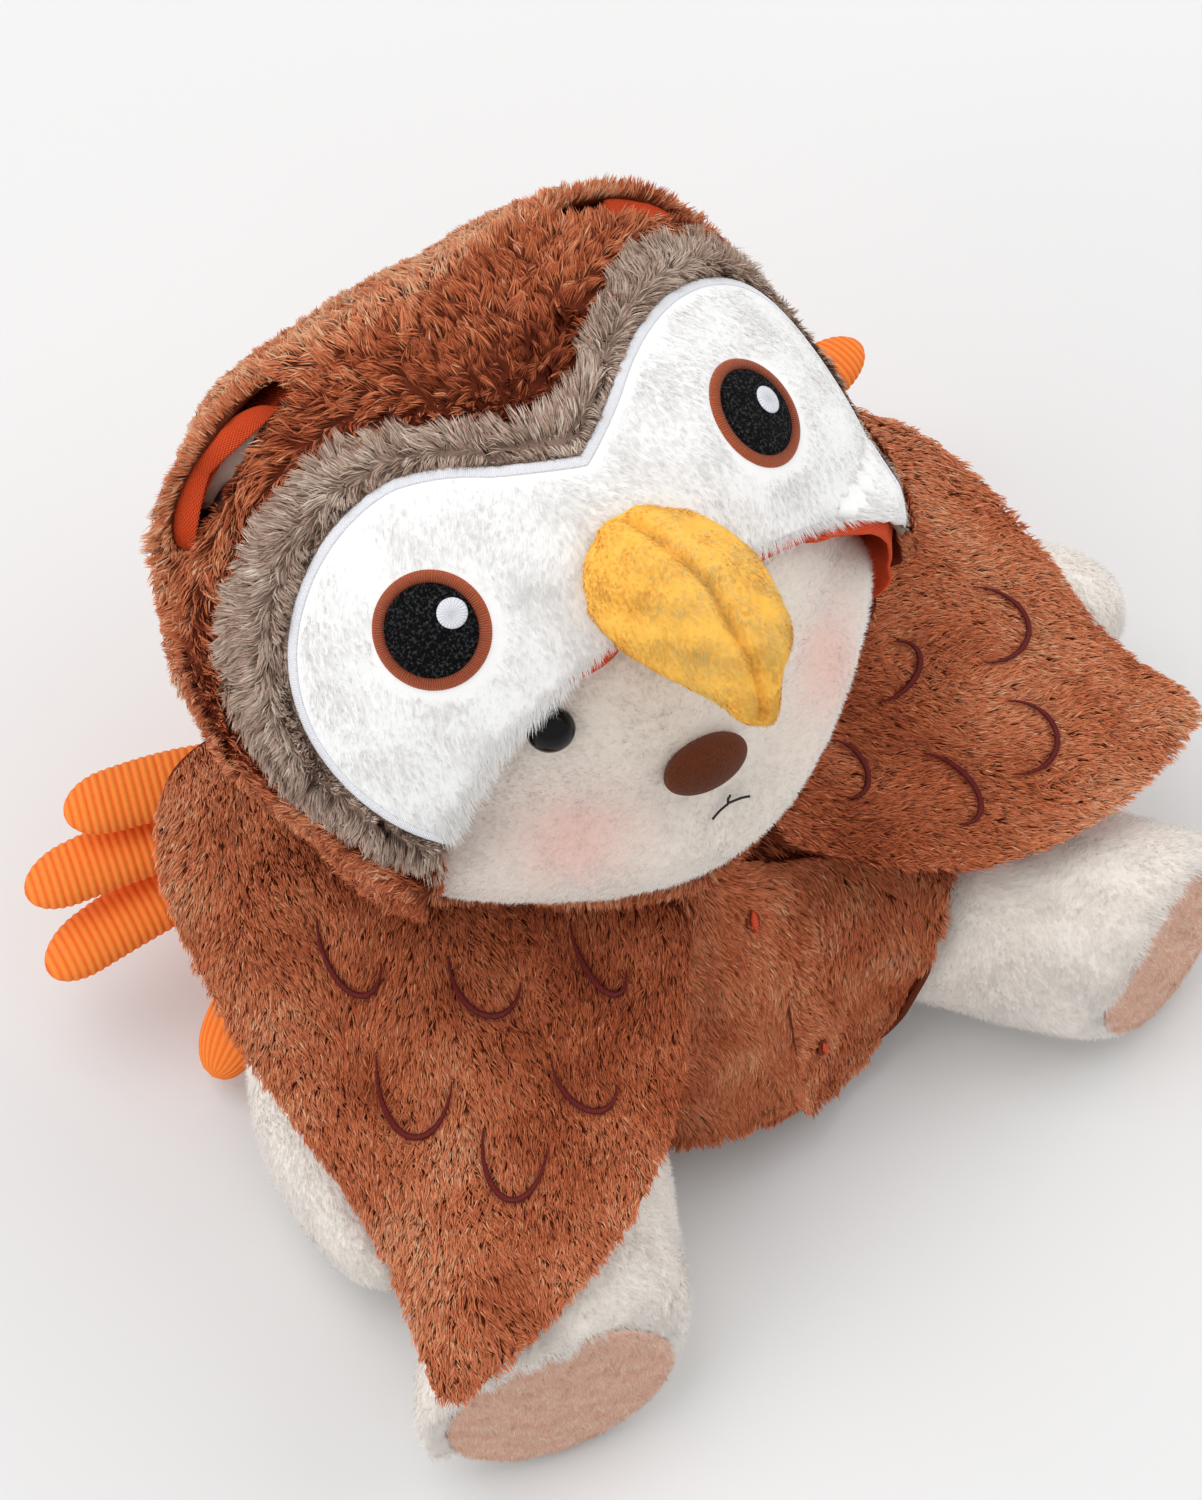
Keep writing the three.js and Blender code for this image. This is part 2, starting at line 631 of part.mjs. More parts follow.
const wingEdges = { right: rightWingEdges, left: leftWingEdges };
for (const side of sides) {
  const edges = wingEdges[side.name];
  addPiece(`${side.name}_wing`, wingSheet(edges, 0, wingWall, ...wingSteps), brownPlush);
  const liningTop = wingWall + seamGap;
  const liningSheet = wingSheet(edges, liningTop + liningWall, liningTop, ...wingSteps);
  addPiece(`${side.name}_wing_lining`, liningSheet, orangeTwill);
}

// Tail pad on the back of the tunic, and the feathers sewn into its edge
const tunicForm = solid(torsoForm(tunicOutside + seamGap));
const tailPad = solid(ball(tailCentre, tailHalf, torsoSides)).subtract(tunicForm);
const tailSeat = solid(ball(tailCentre, tailHalf.clone().addScalar(seamGap), torsoSides));
addPiece('tail_pad', tailPad, orangeCord);
function archRise(step) {
  return featherBend * Math.sin(Math.PI * step);
}
for (const side of sides) {
  featherTips[side.name].forEach((row, index) => {
    const root = new THREE.Vector3(...featherRoots[index]);
    root.x *= side.sign;
    const tip = new THREE.Vector3(...row);
    const run = tip.clone().sub(root);
    const flat = new THREE.Vector3(run.y, -run.x, 0).normalize();
    const sections = featherSteps.map((step, i) => ({
      at: root.clone().addScaledVector(run, step).addScaledVector(up, archRise(step)),
      wide: featherHalfWidth * featherSwells[i],
      deep: featherHalfDepth * featherSwells[i],
    }));
    const finger = solid(loft(sections, flat, up, featherSides, featherRings));
    addPiece(`${side.name}_feather_${index + 1}`, cutAll(finger, [tailSeat, tunicForm]), orangeCord);
  });
}

export default group;
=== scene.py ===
import bpy
import bmesh
import json
import math
import numpy as np
from mathutils import Matrix, Vector
from mathutils.bvhtree import BVHTree
from mathutils.kdtree import KDTree

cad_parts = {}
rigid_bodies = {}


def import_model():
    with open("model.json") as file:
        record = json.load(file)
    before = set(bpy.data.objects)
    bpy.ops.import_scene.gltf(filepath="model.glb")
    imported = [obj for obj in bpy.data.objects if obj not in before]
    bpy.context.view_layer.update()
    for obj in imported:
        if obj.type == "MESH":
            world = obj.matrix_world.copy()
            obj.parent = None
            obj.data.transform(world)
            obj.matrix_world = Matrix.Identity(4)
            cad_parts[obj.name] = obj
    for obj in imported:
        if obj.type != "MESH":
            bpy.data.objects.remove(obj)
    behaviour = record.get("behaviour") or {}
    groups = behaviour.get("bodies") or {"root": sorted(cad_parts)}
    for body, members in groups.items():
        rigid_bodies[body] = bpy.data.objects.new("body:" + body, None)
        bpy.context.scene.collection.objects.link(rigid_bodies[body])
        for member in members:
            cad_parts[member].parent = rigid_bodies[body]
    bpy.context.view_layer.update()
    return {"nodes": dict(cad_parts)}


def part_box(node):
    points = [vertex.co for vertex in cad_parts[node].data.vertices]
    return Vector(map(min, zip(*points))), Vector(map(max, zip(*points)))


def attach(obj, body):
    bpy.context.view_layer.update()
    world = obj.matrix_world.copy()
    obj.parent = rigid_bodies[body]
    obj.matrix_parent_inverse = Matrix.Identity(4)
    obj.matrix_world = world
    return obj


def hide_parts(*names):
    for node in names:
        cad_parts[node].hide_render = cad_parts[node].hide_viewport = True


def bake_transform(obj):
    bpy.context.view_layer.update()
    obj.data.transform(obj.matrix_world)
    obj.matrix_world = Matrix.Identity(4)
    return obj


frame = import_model()
nodes = frame["nodes"]
scene = bpy.context.scene
mm = 0.001
fullTurn = 2 * math.pi
print("frame loaded:", len(nodes), "nodes")


# Camera, as the photograph was taken: bear's right front, looking down
photo = dict(width=1202, height=1500, focal=3846, eye=(-323.8, -364.8, 1036.0), target=(-15.7, -6.5, 154.7))
eyePoint = Vector(photo["eye"]) * mm
lookAlong = (Vector(photo["target"]) * mm - eyePoint).normalized()
eyeTurn = lookAlong.to_track_quat("-Z", "Y")


def setCamera():
    lens = bpy.data.cameras.new("camera")
    lens.sensor_fit = "VERTICAL"
    lens.sensor_height = 36
    lens.lens = photo["focal"] / photo["height"] * lens.sensor_height
    lens.clip_end = 20
    camera = bpy.data.objects.new("camera", lens)
    camera.location = eyePoint
    camera.rotation_euler = eyeTurn.to_euler()
    scene.collection.objects.link(camera)
    scene.camera = camera


def sightLine(pixel):
    across = pixel[0] - photo["width"] / 2
    down = pixel[1] - photo["height"] / 2
    return (eyeTurn @ Vector((across, -down, -photo["focal"]))).normalized()


setCamera()
scene.view_settings.view_transform = "Standard"


# Colours are written as they look, 0 to 255, and turned linear
def tint(red, green, blue):
    def linear(part):
        part = part / 255
        return part / 12.92 if part <= 0.04045 else ((part + 0.055) / 1.055) ** 2.4
    return (linear(red), linear(green), linear(blue), 1)


# Wraps a socket so that shader maths reads as maths
class Shade:
    def __init__(self, tree, socket=None):
        self.tree = tree
        self.socket = socket

    def node(self, kind, settings=None, sockets=None, out=0):
        made = self.tree.nodes.new(kind)
        for key, value in (settings or {}).items():
            if key == "stops":
                ramp = made.color_ramp
                while len(ramp.elements) < len(value):
                    ramp.elements.new(0.5)
                for element, (place, colour) in zip(ramp.elements, value):
                    element.position = place
                    element.color = colour
            else:
                setattr(made, key, value)
        for key, value in (sockets or {}).items():
            self.feed(made.inputs[key], value)
        return Shade(self.tree, made.outputs[out])

    def feed(self, entry, value):
        if isinstance(value, Shade):
            self.tree.links.new(value.socket, entry)
        else:
            entry.default_value = value

    def maths(self, operation, first, second=0.0):
        return self.node("ShaderNodeMath", dict(operation=operation), {0: first, 1: second})

    def __add__(self, other):
        return self.maths("ADD", self, other)

    def __radd__(self, other):
        return self.maths("ADD", other, self)

    def __sub__(self, other):
        return self.maths("SUBTRACT", self, other)

    def __rsub__(self, other):
        return self.maths("SUBTRACT", other, self)

    def __mul__(self, other):
        return self.maths("MULTIPLY", self, other)

    def __rmul__(self, other):
        return self.maths("MULTIPLY", other, self)

    def __pow__(self, other):
        return self.maths("POWER", self, other)

    def mix(self, first, second):
        settings = dict(data_type="RGBA")
        return self.node("ShaderNodeMix", settings, {0: self, 6: first, 7: second}, out=2)

    def noise(self, where, scale, detail=2.0):
        return self.node("ShaderNodeTexNoise", None, {"Vector": where, "Scale": scale, "Detail": detail})

    def bump(self, height, strength, distance):
        return self.node("ShaderNodeBump", None,
                         {"Height": height, "Strength": strength, "Distance": distance})


def newMaterial(name, sockets):
    material = bpy.data.materials.new(name)
    material.use_nodes = True
    tree = material.node_tree
    shader = tree.nodes["Principled BSDF"]
    shade = Shade(tree)
    for key, value in sockets(shade).items():
        shade.feed(shader.inputs[key], value)
    return material


def objectPlace(shade):
    return shade.node("ShaderNodeTexCoord", out=3)


def surfaceMap(shade, name):
    where = shade.node("ShaderNodeUVMap", dict(uv_map=name))
    along = shade.node("ShaderNodeSeparateXYZ", None, {0: where})
    across = Shade(shade.tree, along.socket.node.outputs[1])
    return along, across


# Pile: u is the hair's own tone and v runs from its root to its tip; towards the root the colour is darkened
# by the root share, painted shade between the hairs
def pileMaterial(name, stops, root):
    def sockets(shade):
        tone, reach = surfaceMap(shade, "OFBake")
        colour = shade.node("ShaderNodeValToRGB", dict(stops=stops), {0: tone})
        shadedRoots = shade.node("ShaderNodeMix", dict(data_type="RGBA", blend_type="MULTIPLY"),
                         {0: 1.0, 6: colour, 7: (root, root * 0.94, root * 0.9, 1)}, out=2)
        lit = reach ** 0.7
        return {"Base Color": lit.mix(shadedRoots, colour), "Roughness": 0.7, "Specular IOR Level": 0.12}
    return newMaterial(name, sockets)


# Cloth that the pile stands in, pink where the piece's blush is high
def groundMaterial(name, dark, light, scale=260, pink=None):
    def sockets(shade):
        mottle = shade.noise(objectPlace(shade), scale=scale, detail=3)
        colour = mottle.mix(dark, light)
        if pink:
            blush = shade.node("ShaderNodeAttribute", dict(attribute_name="blush"), out=2)
            colour = blush.mix(colour, pink)
        return {"Base Color": colour, "Roughness": 0.95, "Specular IOR Level": 0.1,
                "Normal": shade.bump(mottle, strength=0.5, distance=0.0006)}
    return newMaterial(name, sockets)


def twillMaterial(name, dark, light, pitch):
    def sockets(shade):
        along, across = surfaceMap(shade, "weave")
        rib = shade.maths("SINE", (along + across) * (fullTurn / pitch)) * 0.5 + 0.5
        cross = shade.maths("SINE", (along - across) * (fullTurn / pitch)) * 0.5 + 0.5
        weave = shade.maths("MAXIMUM", rib, cross)
        wear = shade.noise(objectPlace(shade), scale=60, detail=2)
        # lighter on the twill's ribs and darker between them, painted shade, mixed with patches of tone
        shown = weave * 0.6 + wear * 0.4
        return {"Base Color": shown.mix(dark, light), "Roughness": 0.75, "Specular IOR Level": 0.3,
                "Normal": shade.bump(weave, strength=0.7, distance=0.0005)}
    return newMaterial(name, sockets)


# Satin stitch: threads lie across the strip, side by side along it; each thread is lighter on its ridge and
# darker between, painted shade, with tone that differs at random
def satinMaterial(name, dark, light, thread, slope=0.0):
    def sockets(shade):
        along, across = surfaceMap(shade, "stitch")
        wander = shade.noise(objectPlace(shade), scale=900, detail=1)
        ridge = shade.maths("SINE", (along * (1 / thread) + wander * 0.8) * fullTurn) * 0.5 + 0.5
        shown = ridge * 0.6 + wander * 0.4
        if slope:
            shown = shown * 0.5 + across * slope
        return {"Base Color": shown.mix(dark, light), "Roughness": 0.45, "Specular IOR Level": 0.25,
                "Normal": shade.bump(ridge, strength=0.6, distance=0.0003)}
    return newMaterial(name, sockets)


def fillMaterial(name, dark, light):
    def sockets(shade):
        where = objectPlace(shade)
        stitches = shade.node("ShaderNodeTexVoronoi", None, {"Vector": where, "Scale": 1300.0})
        speck = shade.noise(where, scale=1400, detail=1)
        shown = shade.node("ShaderNodeMapRange", None, {"Value": speck, "From Min": 0.5, "From Max": 0.8})
        return {"Base Color": shown.mix(dark, light), "Roughness": 0.7, "Specular IOR Level": 0.08,
                "Normal": shade.bump(stitches, strength=0.8, distance=0.0005)}
    return newMaterial(name, sockets)


# Corduroy: darker in the grooves and lighter on the crowns of the wales, painted shade, with nap tone that
# differs at random
def corduroyMaterial(name, groove, crown):
    def sockets(shade):
        across = surfaceMap(shade, "rib")[1]
        nap = shade.noise(objectPlace(shade), scale=700, detail=3)
        shown = across * 0.75 + nap * 0.3
        return {"Base Color": shown.mix(groove, crown), "Roughness": 0.85, "Specular IOR Level": 0.2,
                "Normal": shade.bump(nap, strength=0.35, distance=0.0004)}
    return newMaterial(name, sockets)


def glossMaterial(name, colour):
    def sockets(shade):
        scuff = shade.noise(objectPlace(shade), scale=500, detail=2)
        return {"Base Color": colour, "Roughness": scuff * 0.05 + 0.06, "Specular IOR Level": 0.2}
    return newMaterial(name, sockets)


def flockMaterial(name, dark, light):
    def sockets(shade):
        where = objectPlace(shade)
        speck = shade.noise(where, scale=1600, detail=3)
        broad = shade.noise(where, scale=120, detail=2)
        shown = speck * 0.7 + broad * 0.3
        return {"Base Color": shown.mix(dark, light), "Roughness": 0.95, "Specular IOR Level": 0.1,
                "Sheen Weight": 0.08, "Normal": shade.bump(speck, strength=0.9, distance=0.0006)}
    return newMaterial(name, sockets)


def plasticMaterial(name, dark, light):
    def sockets(shade):
        cloud = shade.noise(objectPlace(shade), scale=300, detail=2)
        return {"Base Color": cloud.mix(dark, light), "Roughness": cloud * 0.1 + 0.3}
    return newMaterial(name, sockets)


# root: how dark each pile is at its hairs' roots, painted shade
brownPile = pileMaterial("brown_pile", [(0, tint(132, 56, 30)), (0.35, tint(204, 106, 66)),
                                        (0.7, tint(242, 148, 102)), (1, tint(255, 206, 164))], root=0.36)
taupePile = pileMaterial("taupe_pile", [(0, tint(122, 96, 82)), (0.4, tint(190, 160, 142)),
                                        (0.75, tint(218, 194, 176)), (1, tint(244, 228, 212))], root=0.5)
maskPile = pileMaterial("mask_pile", [(0, tint(250, 250, 250)), (1, tint(255, 255, 254))], root=0.97)
bearPile = pileMaterial("bear_pile", [(0, tint(246, 238, 228)), (0.25, tint(254, 249, 242)),
                                      (0.42, tint(255, 253, 249)), (0.7, tint(252, 212, 202)),
                                      (1, tint(240, 160, 148))], root=1.0)
beakPile = pileMaterial("beak_pile", [(0, tint(255, 164, 44)), (0.5, tint(255, 210, 104)),
                                      (1, tint(255, 242, 178))], root=1.0)
solePile = pileMaterial("sole_pile", [(0, tint(214, 160, 134)), (0.5, tint(246, 202, 178)),
                                      (1, tint(255, 234, 218))], root=0.94)
# The brown and taupe grounds are darker than their pile: painted shade in the gaps between the tufts
brownShadedGround = groundMaterial("brown_ground_painted_shade", tint(78, 30, 16), tint(120, 54, 33))
taupeShadedGround = groundMaterial("taupe_ground_painted_shade", tint(126, 102, 90), tint(164, 138, 124))
maskGround = groundMaterial("mask_ground", tint(250, 250, 250), tint(254, 254, 253))
bearGround = groundMaterial("bear_ground", tint(246, 238, 228), tint(254, 248, 240))
faceGround = groundMaterial("face_ground", tint(238, 227, 215), tint(248, 239, 229), pink=tint(244, 188, 176))
beakGround = groundMaterial("beak_ground", tint(255, 186, 74), tint(255, 208, 100))
soleGround = groundMaterial("sole_ground", tint(216, 172, 150), tint(228, 186, 165))
liningTwill = twillMaterial("lining_twill", tint(200, 48, 16), tint(250, 96, 42), 0.0011)
maskSatin = satinMaterial("mask_satin", tint(238, 240, 250), tint(254, 254, 255), 0.00045)
ringSatin = satinMaterial("ring_satin", tint(60, 18, 10), tint(210, 104, 62), 0.0006, slope=26.0)
scallopSatin = satinMaterial("scallop_satin", tint(60, 8, 10), tint(136, 40, 40), 0.00045)
glintSatin = satinMaterial("glint_satin", tint(206, 210, 222), tint(250, 250, 252), 0.0005)
pupilFill = fillMaterial("pupil_fill", tint(4, 4, 5), tint(66, 66, 69))
mouthThread = satinMaterial("mouth_thread", tint(20, 18, 18), tint(54, 50, 48), 0.0006)
tailCord = corduroyMaterial("tail_cord", tint(236, 88, 22), tint(255, 150, 66))
slitThread = satinMaterial("slit_thread", tint(196, 52, 20), tint(240, 92, 44), 0.0006)
eyeGloss = glossMaterial("eye_gloss", tint(13, 13, 14))
noseFlock = flockMaterial("nose_flock", tint(62, 26, 11), tint(122, 66, 40))
washerPlastic = plasticMaterial("washer_plastic", tint(206, 206, 204), tint(230, 230, 228))
# The tapes' nylon, also the colour of the dark strips under the tunic's slits, painted shade
tapeNylonAndShade = groundMaterial("tape_nylon", tint(104, 42, 26), tint(150, 70, 46), 1500)
print("materials ready")


# Mesh helpers
def repaint(data, material):
    data.materials.clear()
    data.materials.append(material)


def smoothFaces(data):
    data.polygons.foreach_set("use_smooth", np.ones(len(data.polygons), bool))


def addObject(name, data, material):
    piece = bpy.data.objects.new(name, data)
    scene.collection.objects.link(piece)
    repaint(data, material)
    smoothFaces(data)
    return piece


def fromMesh(name, mesh, material):
    data = bpy.data.meshes.new(name)
    mesh.to_mesh(data)
    mesh.free()
    return addObject(name, data, material)


def settle(piece):
    graph = bpy.context.evaluated_depsgraph_get()
    made = bpy.data.meshes.new_from_object(piece.evaluated_get(graph))
    piece.modifiers.clear()
    piece.data = made


def soften(piece, turns):
    smooth = piece.modifiers.new("soft", "SMOOTH")
    smooth.factor = 0.5
    smooth.iterations = turns
    settle(piece)


def refine(piece, levels):
    finer = piece.modifiers.new("finer", "SUBSURF")
    finer.levels = levels
    finer.render_levels = levels
    settle(piece)


def thicken(piece, wall):
    solid = piece.modifiers.new("wall", "SOLIDIFY")
    solid.thickness = wall * mm
    solid.offset = -1
    settle(piece)


def dress(piece, body, slot, *replaced):
    if isinstance(body, tuple):  # two bodies and the ends of the bend between them
        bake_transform(piece)
    else:
        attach(piece, body)
    if replaced:
        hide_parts(*replaced)


def dressPadded(piece, body, slot, *replaced, fill):
    dress(piece, body, slot, *replaced)


def nodeCopy(node):
    mesh = bmesh.new()
    mesh.from_mesh(nodes[node].data)
    bmesh.ops.remove_doubles(mesh, verts=mesh.verts, dist=0.01 * mm)
    return mesh


# A grid whose points, and their places on its map, come from two shares that run from 0 to 1. A round one is
# welded along its seam, and its open ends are closed where it is a tube
def gridPatch(name, columns, rows, shape, material, mapName, weld=0, isTube=False):
    mesh = bmesh.new()
    mesh.loops.layers.uv.new(mapName)
    bmesh.ops.create_grid(mesh, x_segments=columns, y_segments=rows, size=0.5)
    mesh.verts.index_update()
    layer = mesh.loops.layers.uv[mapName]
    shares = np.array([vert.co[:2] for vert in mesh.verts]) + 0.5
    places, spread = shape(shares[:, 0], shares[:, 1])
    for face in mesh.faces:
        for loop in face.loops:
            loop[layer].uv = spread[loop.vert.index]
    for vert, place in zip(mesh.verts, places):
        vert.co = place
    if weld:
        bmesh.ops.remove_doubles(mesh, verts=mesh.verts, dist=weld * mm)
    if isTube:
        bmesh.ops.holes_fill(mesh, edges=mesh.edges, sides=0)
    bmesh.ops.recalc_face_normals(mesh, faces=mesh.faces)
    return fromMesh(name, mesh, material)


# A map whose places are given for each point
def addMap(piece, name, spread):
    corners = np.empty(len(piece.data.loops), np.int64)
    piece.data.loops.foreach_get("vertex_index", corners)
    piece.data.uv_layers.new(name=name).data.foreach_set("uv", spread[corners].ravel())


# Gives a cloth its thickness, puts it on its body and hides the parts it stands in for
def finishSheet(piece, wall, held, restsOn, body, slot, *replaced):
    thicken(piece, wall)
    dress(piece, body, slot, *replaced)


def points(piece):
    found = np.empty(len(piece.data.vertices) * 3)
    piece.data.vertices.foreach_get("co", found)
    return found.reshape(-1, 3)


def setPoints(piece, places):
    piece.data.vertices.foreach_set("co", np.ascontiguousarray(places).ravel())
    piece.data.update()


def pointNormals(piece):
    found = np.empty(len(piece.data.vertices) * 3)
    piece.data.vertices.foreach_get("normal", found)
    return found.reshape(-1, 3)


# Turns a sheet over where its faces look the other way
def faceTowards(piece, aim):
    if (pointNormals(piece) @ aim).mean() < 0:
        piece.data.flip_normals()


def unit(vectors):
    size = np.linalg.norm(vectors, axis=-1, keepdims=True)
    return vectors / np.maximum(size, 1e-12)


def smoothStep(values, start, end):
    share = np.clip((values - start) / (end - start), 0, 1)
    return share * share * (3 - 2 * share)


# Places spaced evenly along each run between corners
def spacedAlong(corners, parts):
    corners = np.array(corners, float)
    places = [first + (second - first) * share for first, second in zip(corners, corners[1:])
              for share in np.linspace(0, 1, parts, endpoint=False)]
    return np.array(places + [corners[-1]])


def pointTree(spots):
    tree = KDTree(len(spots))
    for index, spot in enumerate(spots):
        tree.insert(spot, index)
    tree.balance()
    return tree


# Distance from each place to the nearest of some points
def nearTree(spots):
    tree = pointTree(spots)
    return lambda places: np.array([tree.find(place)[2] for place in places])


# Smooth wandering values between about -1 and 1: a few waves laid over each other
waveLook = dict(waves=6, pace=(0.6, 1.5), phase=6.28)


def wander(places, size, seed):
    chance = np.random.default_rng(seed)
    total = np.zeros(len(places))
    for wave in range(waveLook["waves"]):
        aim = unit(chance.normal(size=3)) * chance.uniform(*waveLook["pace"]) * fullTurn / size
        total += np.sin(places @ aim + chance.uniform(0, waveLook["phase"]))
    return total / (waveLook["waves"] / 2)


# A stuffed form: remeshed from its solid, filled by cloth pressure and drawn in for its pile
fillFrames = 20


def stuffed(name, node, material, look):
    piece = fromMesh(name, nodeCopy(node), material)
    remesh = piece.modifiers.new("even", "REMESH")
    remesh.mode = "VOXEL"
    remesh.voxel_size = look["voxel"] * mm
    soften(piece, look["smooth"])
    start = points(piece) - pointNormals(piece) * look["inset"] * mm
    setPoints(piece, start)
    if look.get("pressure"):
        cloth = piece.modifiers.new("filling", "CLOTH")
        cloth.settings.use_pressure = True
        cloth.settings.uniform_pressure_force = look["pressure"]
        cloth.settings.effector_weights.gravity = 0
        cloth.point_cache.frame_end = fillFrames
        for step in range(fillFrames):
            scene.frame_set(step + 1)
        settle(piece)
        scene.frame_set(1)
        moved = points(piece) - start
        far = np.linalg.norm(moved, axis=1, keepdims=True)
        cap = look["cap"] * mm
        setPoints(piece, start + moved * np.minimum(1, cap / np.maximum(far, 1e-9)))
    refine(piece, 1)
    smoothFaces(piece.data)
    return piece


# Scatter roots over a piece by area, with the normal at each
def scatter(piece, count, chance, share=None):
    piece.data.calc_loop_triangles()
    triangles = np.empty(len(piece.data.loop_triangles) * 3, np.int64)
    piece.data.loop_triangles.foreach_get("vertices", triangles)
    triangles = triangles.reshape(-1, 3)
    places = points(piece)
    normals = pointNormals(piece)
    a, b, c = (places[triangles[:, corner]] for corner in range(3))
    weight = np.linalg.norm(np.cross(b - a, c - a), axis=1)
    if share is not None:
        weight = weight * share(places, normals)[triangles].mean(axis=1)
    picked = chance.choice(len(triangles), count, p=weight / weight.sum())
    s, t = chance.random(count), chance.random(count)
    flip = s + t > 1
    s[flip], t[flip] = 1 - s[flip], 1 - t[flip]
    mixed = np.stack([1 - s - t, s, t], axis=1)[:, :, None]
    roots = (places[triangles[picked]] * mixed).sum(axis=1)
    upright = unit((normals[triangles[picked]] * mixed).sum(axis=1))
    return roots, upright


# Pile: every hair is a bent tapered blade, and hairs lean together in tufts
seedStep = 10  # between the seeds of a pile's pieces
hairLook = dict(lengths=(0.7, 1.15), sink=0.4, lower=0.52, belly=1.15, bellyAt=0.55, tipBow=0.4,
                leans=(0.05, 1.5), stand=0.85, standPull=0.92, pulls=(0.5, 1), middlePull=0.35, twist=0.5,
                forward=0.15, quickShare=0.4, tones=(0.02, 0.98), reach=(0.01, 0.98), breadth=0.004)


def hairCount(hairs):
    return int(hairs * (1))


def flatten(vectors, upright):
    return vectors - upright * (vectors * upright).sum(axis=1, keepdims=True)


def growPile(name, piece, material, look, body, slot, comb=None, tone=None, share=None, keep=None, stand=None,
             sized=None, at=None):
    chance = np.random.default_rng(look["seed"])
    comb = comb or falling(look["comb"])
    tone = tone or evenTone(*look["tone"])
    roots, upright = at or scatter(piece, hairCount(look["hairs"]), chance, share)
    if keep is not None:
        wanted = keep(roots)
        roots, upright = roots[wanted], upright[wanted]
    count = len(roots)
    flow = comb(roots, upright)
    swirl = wander(roots, look["swirl"] * mm, look["seed"] + 1)[:, None] * look["turn"]
    side = np.cross(upright, flow)
    flow = unit(flow + side * swirl + chance.normal(size=(count, 3)) * look["stray"])
    flow = unit(flatten(flow, upright))
    length = look["length"] * mm * chance.uniform(*hairLook["lengths"], count)[:, None]
    if sized is not None:
        length = length * sized(roots)[:, None]
    lean = np.radians(look["lean"] + chance.normal(size=count) * look["leanStray"])
    lean = lean + np.radians(look["leanWave"]) * wander(roots, look["wave"] * mm, look["seed"] + 2)
    if stand is not None:
        lean = lean * (1 - hairLook["stand"] * stand(roots))
    lean = np.clip(lean, *hairLook["leans"])[:, None]
    lower, higher = lean * (1 - look["bow"]), lean * (1 + look["bow"] * hairLook["tipBow"])
    low = upright * np.cos(lower) + flow * np.sin(lower)
    high = upright * np.cos(higher) + flow * np.sin(higher)
    start = roots - upright * hairLook["sink"] * mm
    middle = start + low * length * hairLook["lower"]
    tip = middle + high * length * (1 - hairLook["lower"])

    heads = chance.choice(count, max(1, int(count / look["tuft"])), replace=False)
    tree = pointTree(roots[heads])
    owner = heads[[tree.find(root)[1] for root in roots]]
    pull = look["gather"] * chance.uniform(*hairLook["pulls"], count)[:, None]
    if stand is not None:
        pull = pull + (hairLook["standPull"] - pull) * stand(roots)[:, None]
    tip = tip + (tip[owner] - tip) * pull
    middle = middle + (middle[owner] - middle) * pull * hairLook["middlePull"]

    twist = chance.normal(size=(count, 1)) * hairLook["twist"]
    edge = unit(np.cross(low, upright) + upright * twist)
    half = edge * look["width"] * mm / 2
    if look.get("isShort"):  # one triangle is enough for a short hair
        corners = np.stack([start - half, start + half, tip], axis=1)
        order, starts = np.array([0, 1, 2]), np.array([0])
        reach, breadth = np.array([0, 0, 1]), np.array([-1, 1, 0])
    else:
        belly, wide = half * hairLook["belly"], hairLook["bellyAt"]
        corners = np.stack([start, middle + belly, tip, middle - belly], axis=1)
        order, starts = np.array([0, 1, 3, 3, 1, 2]), np.array([0, 3])
        reach, breadth = np.array([0, wide, wide, wide, wide, 1]), np.array([0, 1, -1, -1, 1, 0])
    sides = corners.shape[1]
    facing = unit(upright + edge * chance.normal(size=(count, 1)) * look["ruffle"]
                  + flow * hairLook["forward"])

    data = bpy.data.meshes.new(name)
    data.vertices.add(count * sides)
    data.vertices.foreach_set("co", corners.ravel())
    data.loops.add(count * len(order))
    data.loops.foreach_set("vertex_index", (np.arange(count)[:, None] * sides + order).ravel())
    data.polygons.add(count * len(starts))
    data.polygons.foreach_set("loop_start", (np.arange(count)[:, None] * len(order) + starts).ravel())
    data.update(calc_edges=True)
    clump = chance.normal(size=count)[owner] * look.get("clump", 0)
    hue = np.clip(tone(roots, upright, chance) + clump, *hairLook["tones"])[:, None]
    lowest, span = hairLook["reach"]
    spots = np.stack([hue + breadth * hairLook["breadth"],
                      np.tile(reach * span + lowest, (count, 1))], axis=2)
    data.uv_layers.new(name="OFBake").data.foreach_set("uv", spots.ravel())
    pile = addObject(name, data, material)
    data.normals_split_custom_set_from_vertices(np.repeat(facing, sides, axis=0))
    dress(pile, body, slot)
    print(name, count, "hairs")


def falling(pull):
    aim = np.array(pull, float)

    def comb(roots, upright):
        return unit(flatten(aim, upright) + 1e-6)
    return comb


# A tone that differs from hair to hair by the spread, and from patch to patch by the depth
def evenTone(middle, spread, size, depth, seed):
    def tone(roots, upright, chance):
        return middle + chance.normal(size=len(roots)) * spread + wander(roots, size * mm, seed) * depth
    return tone


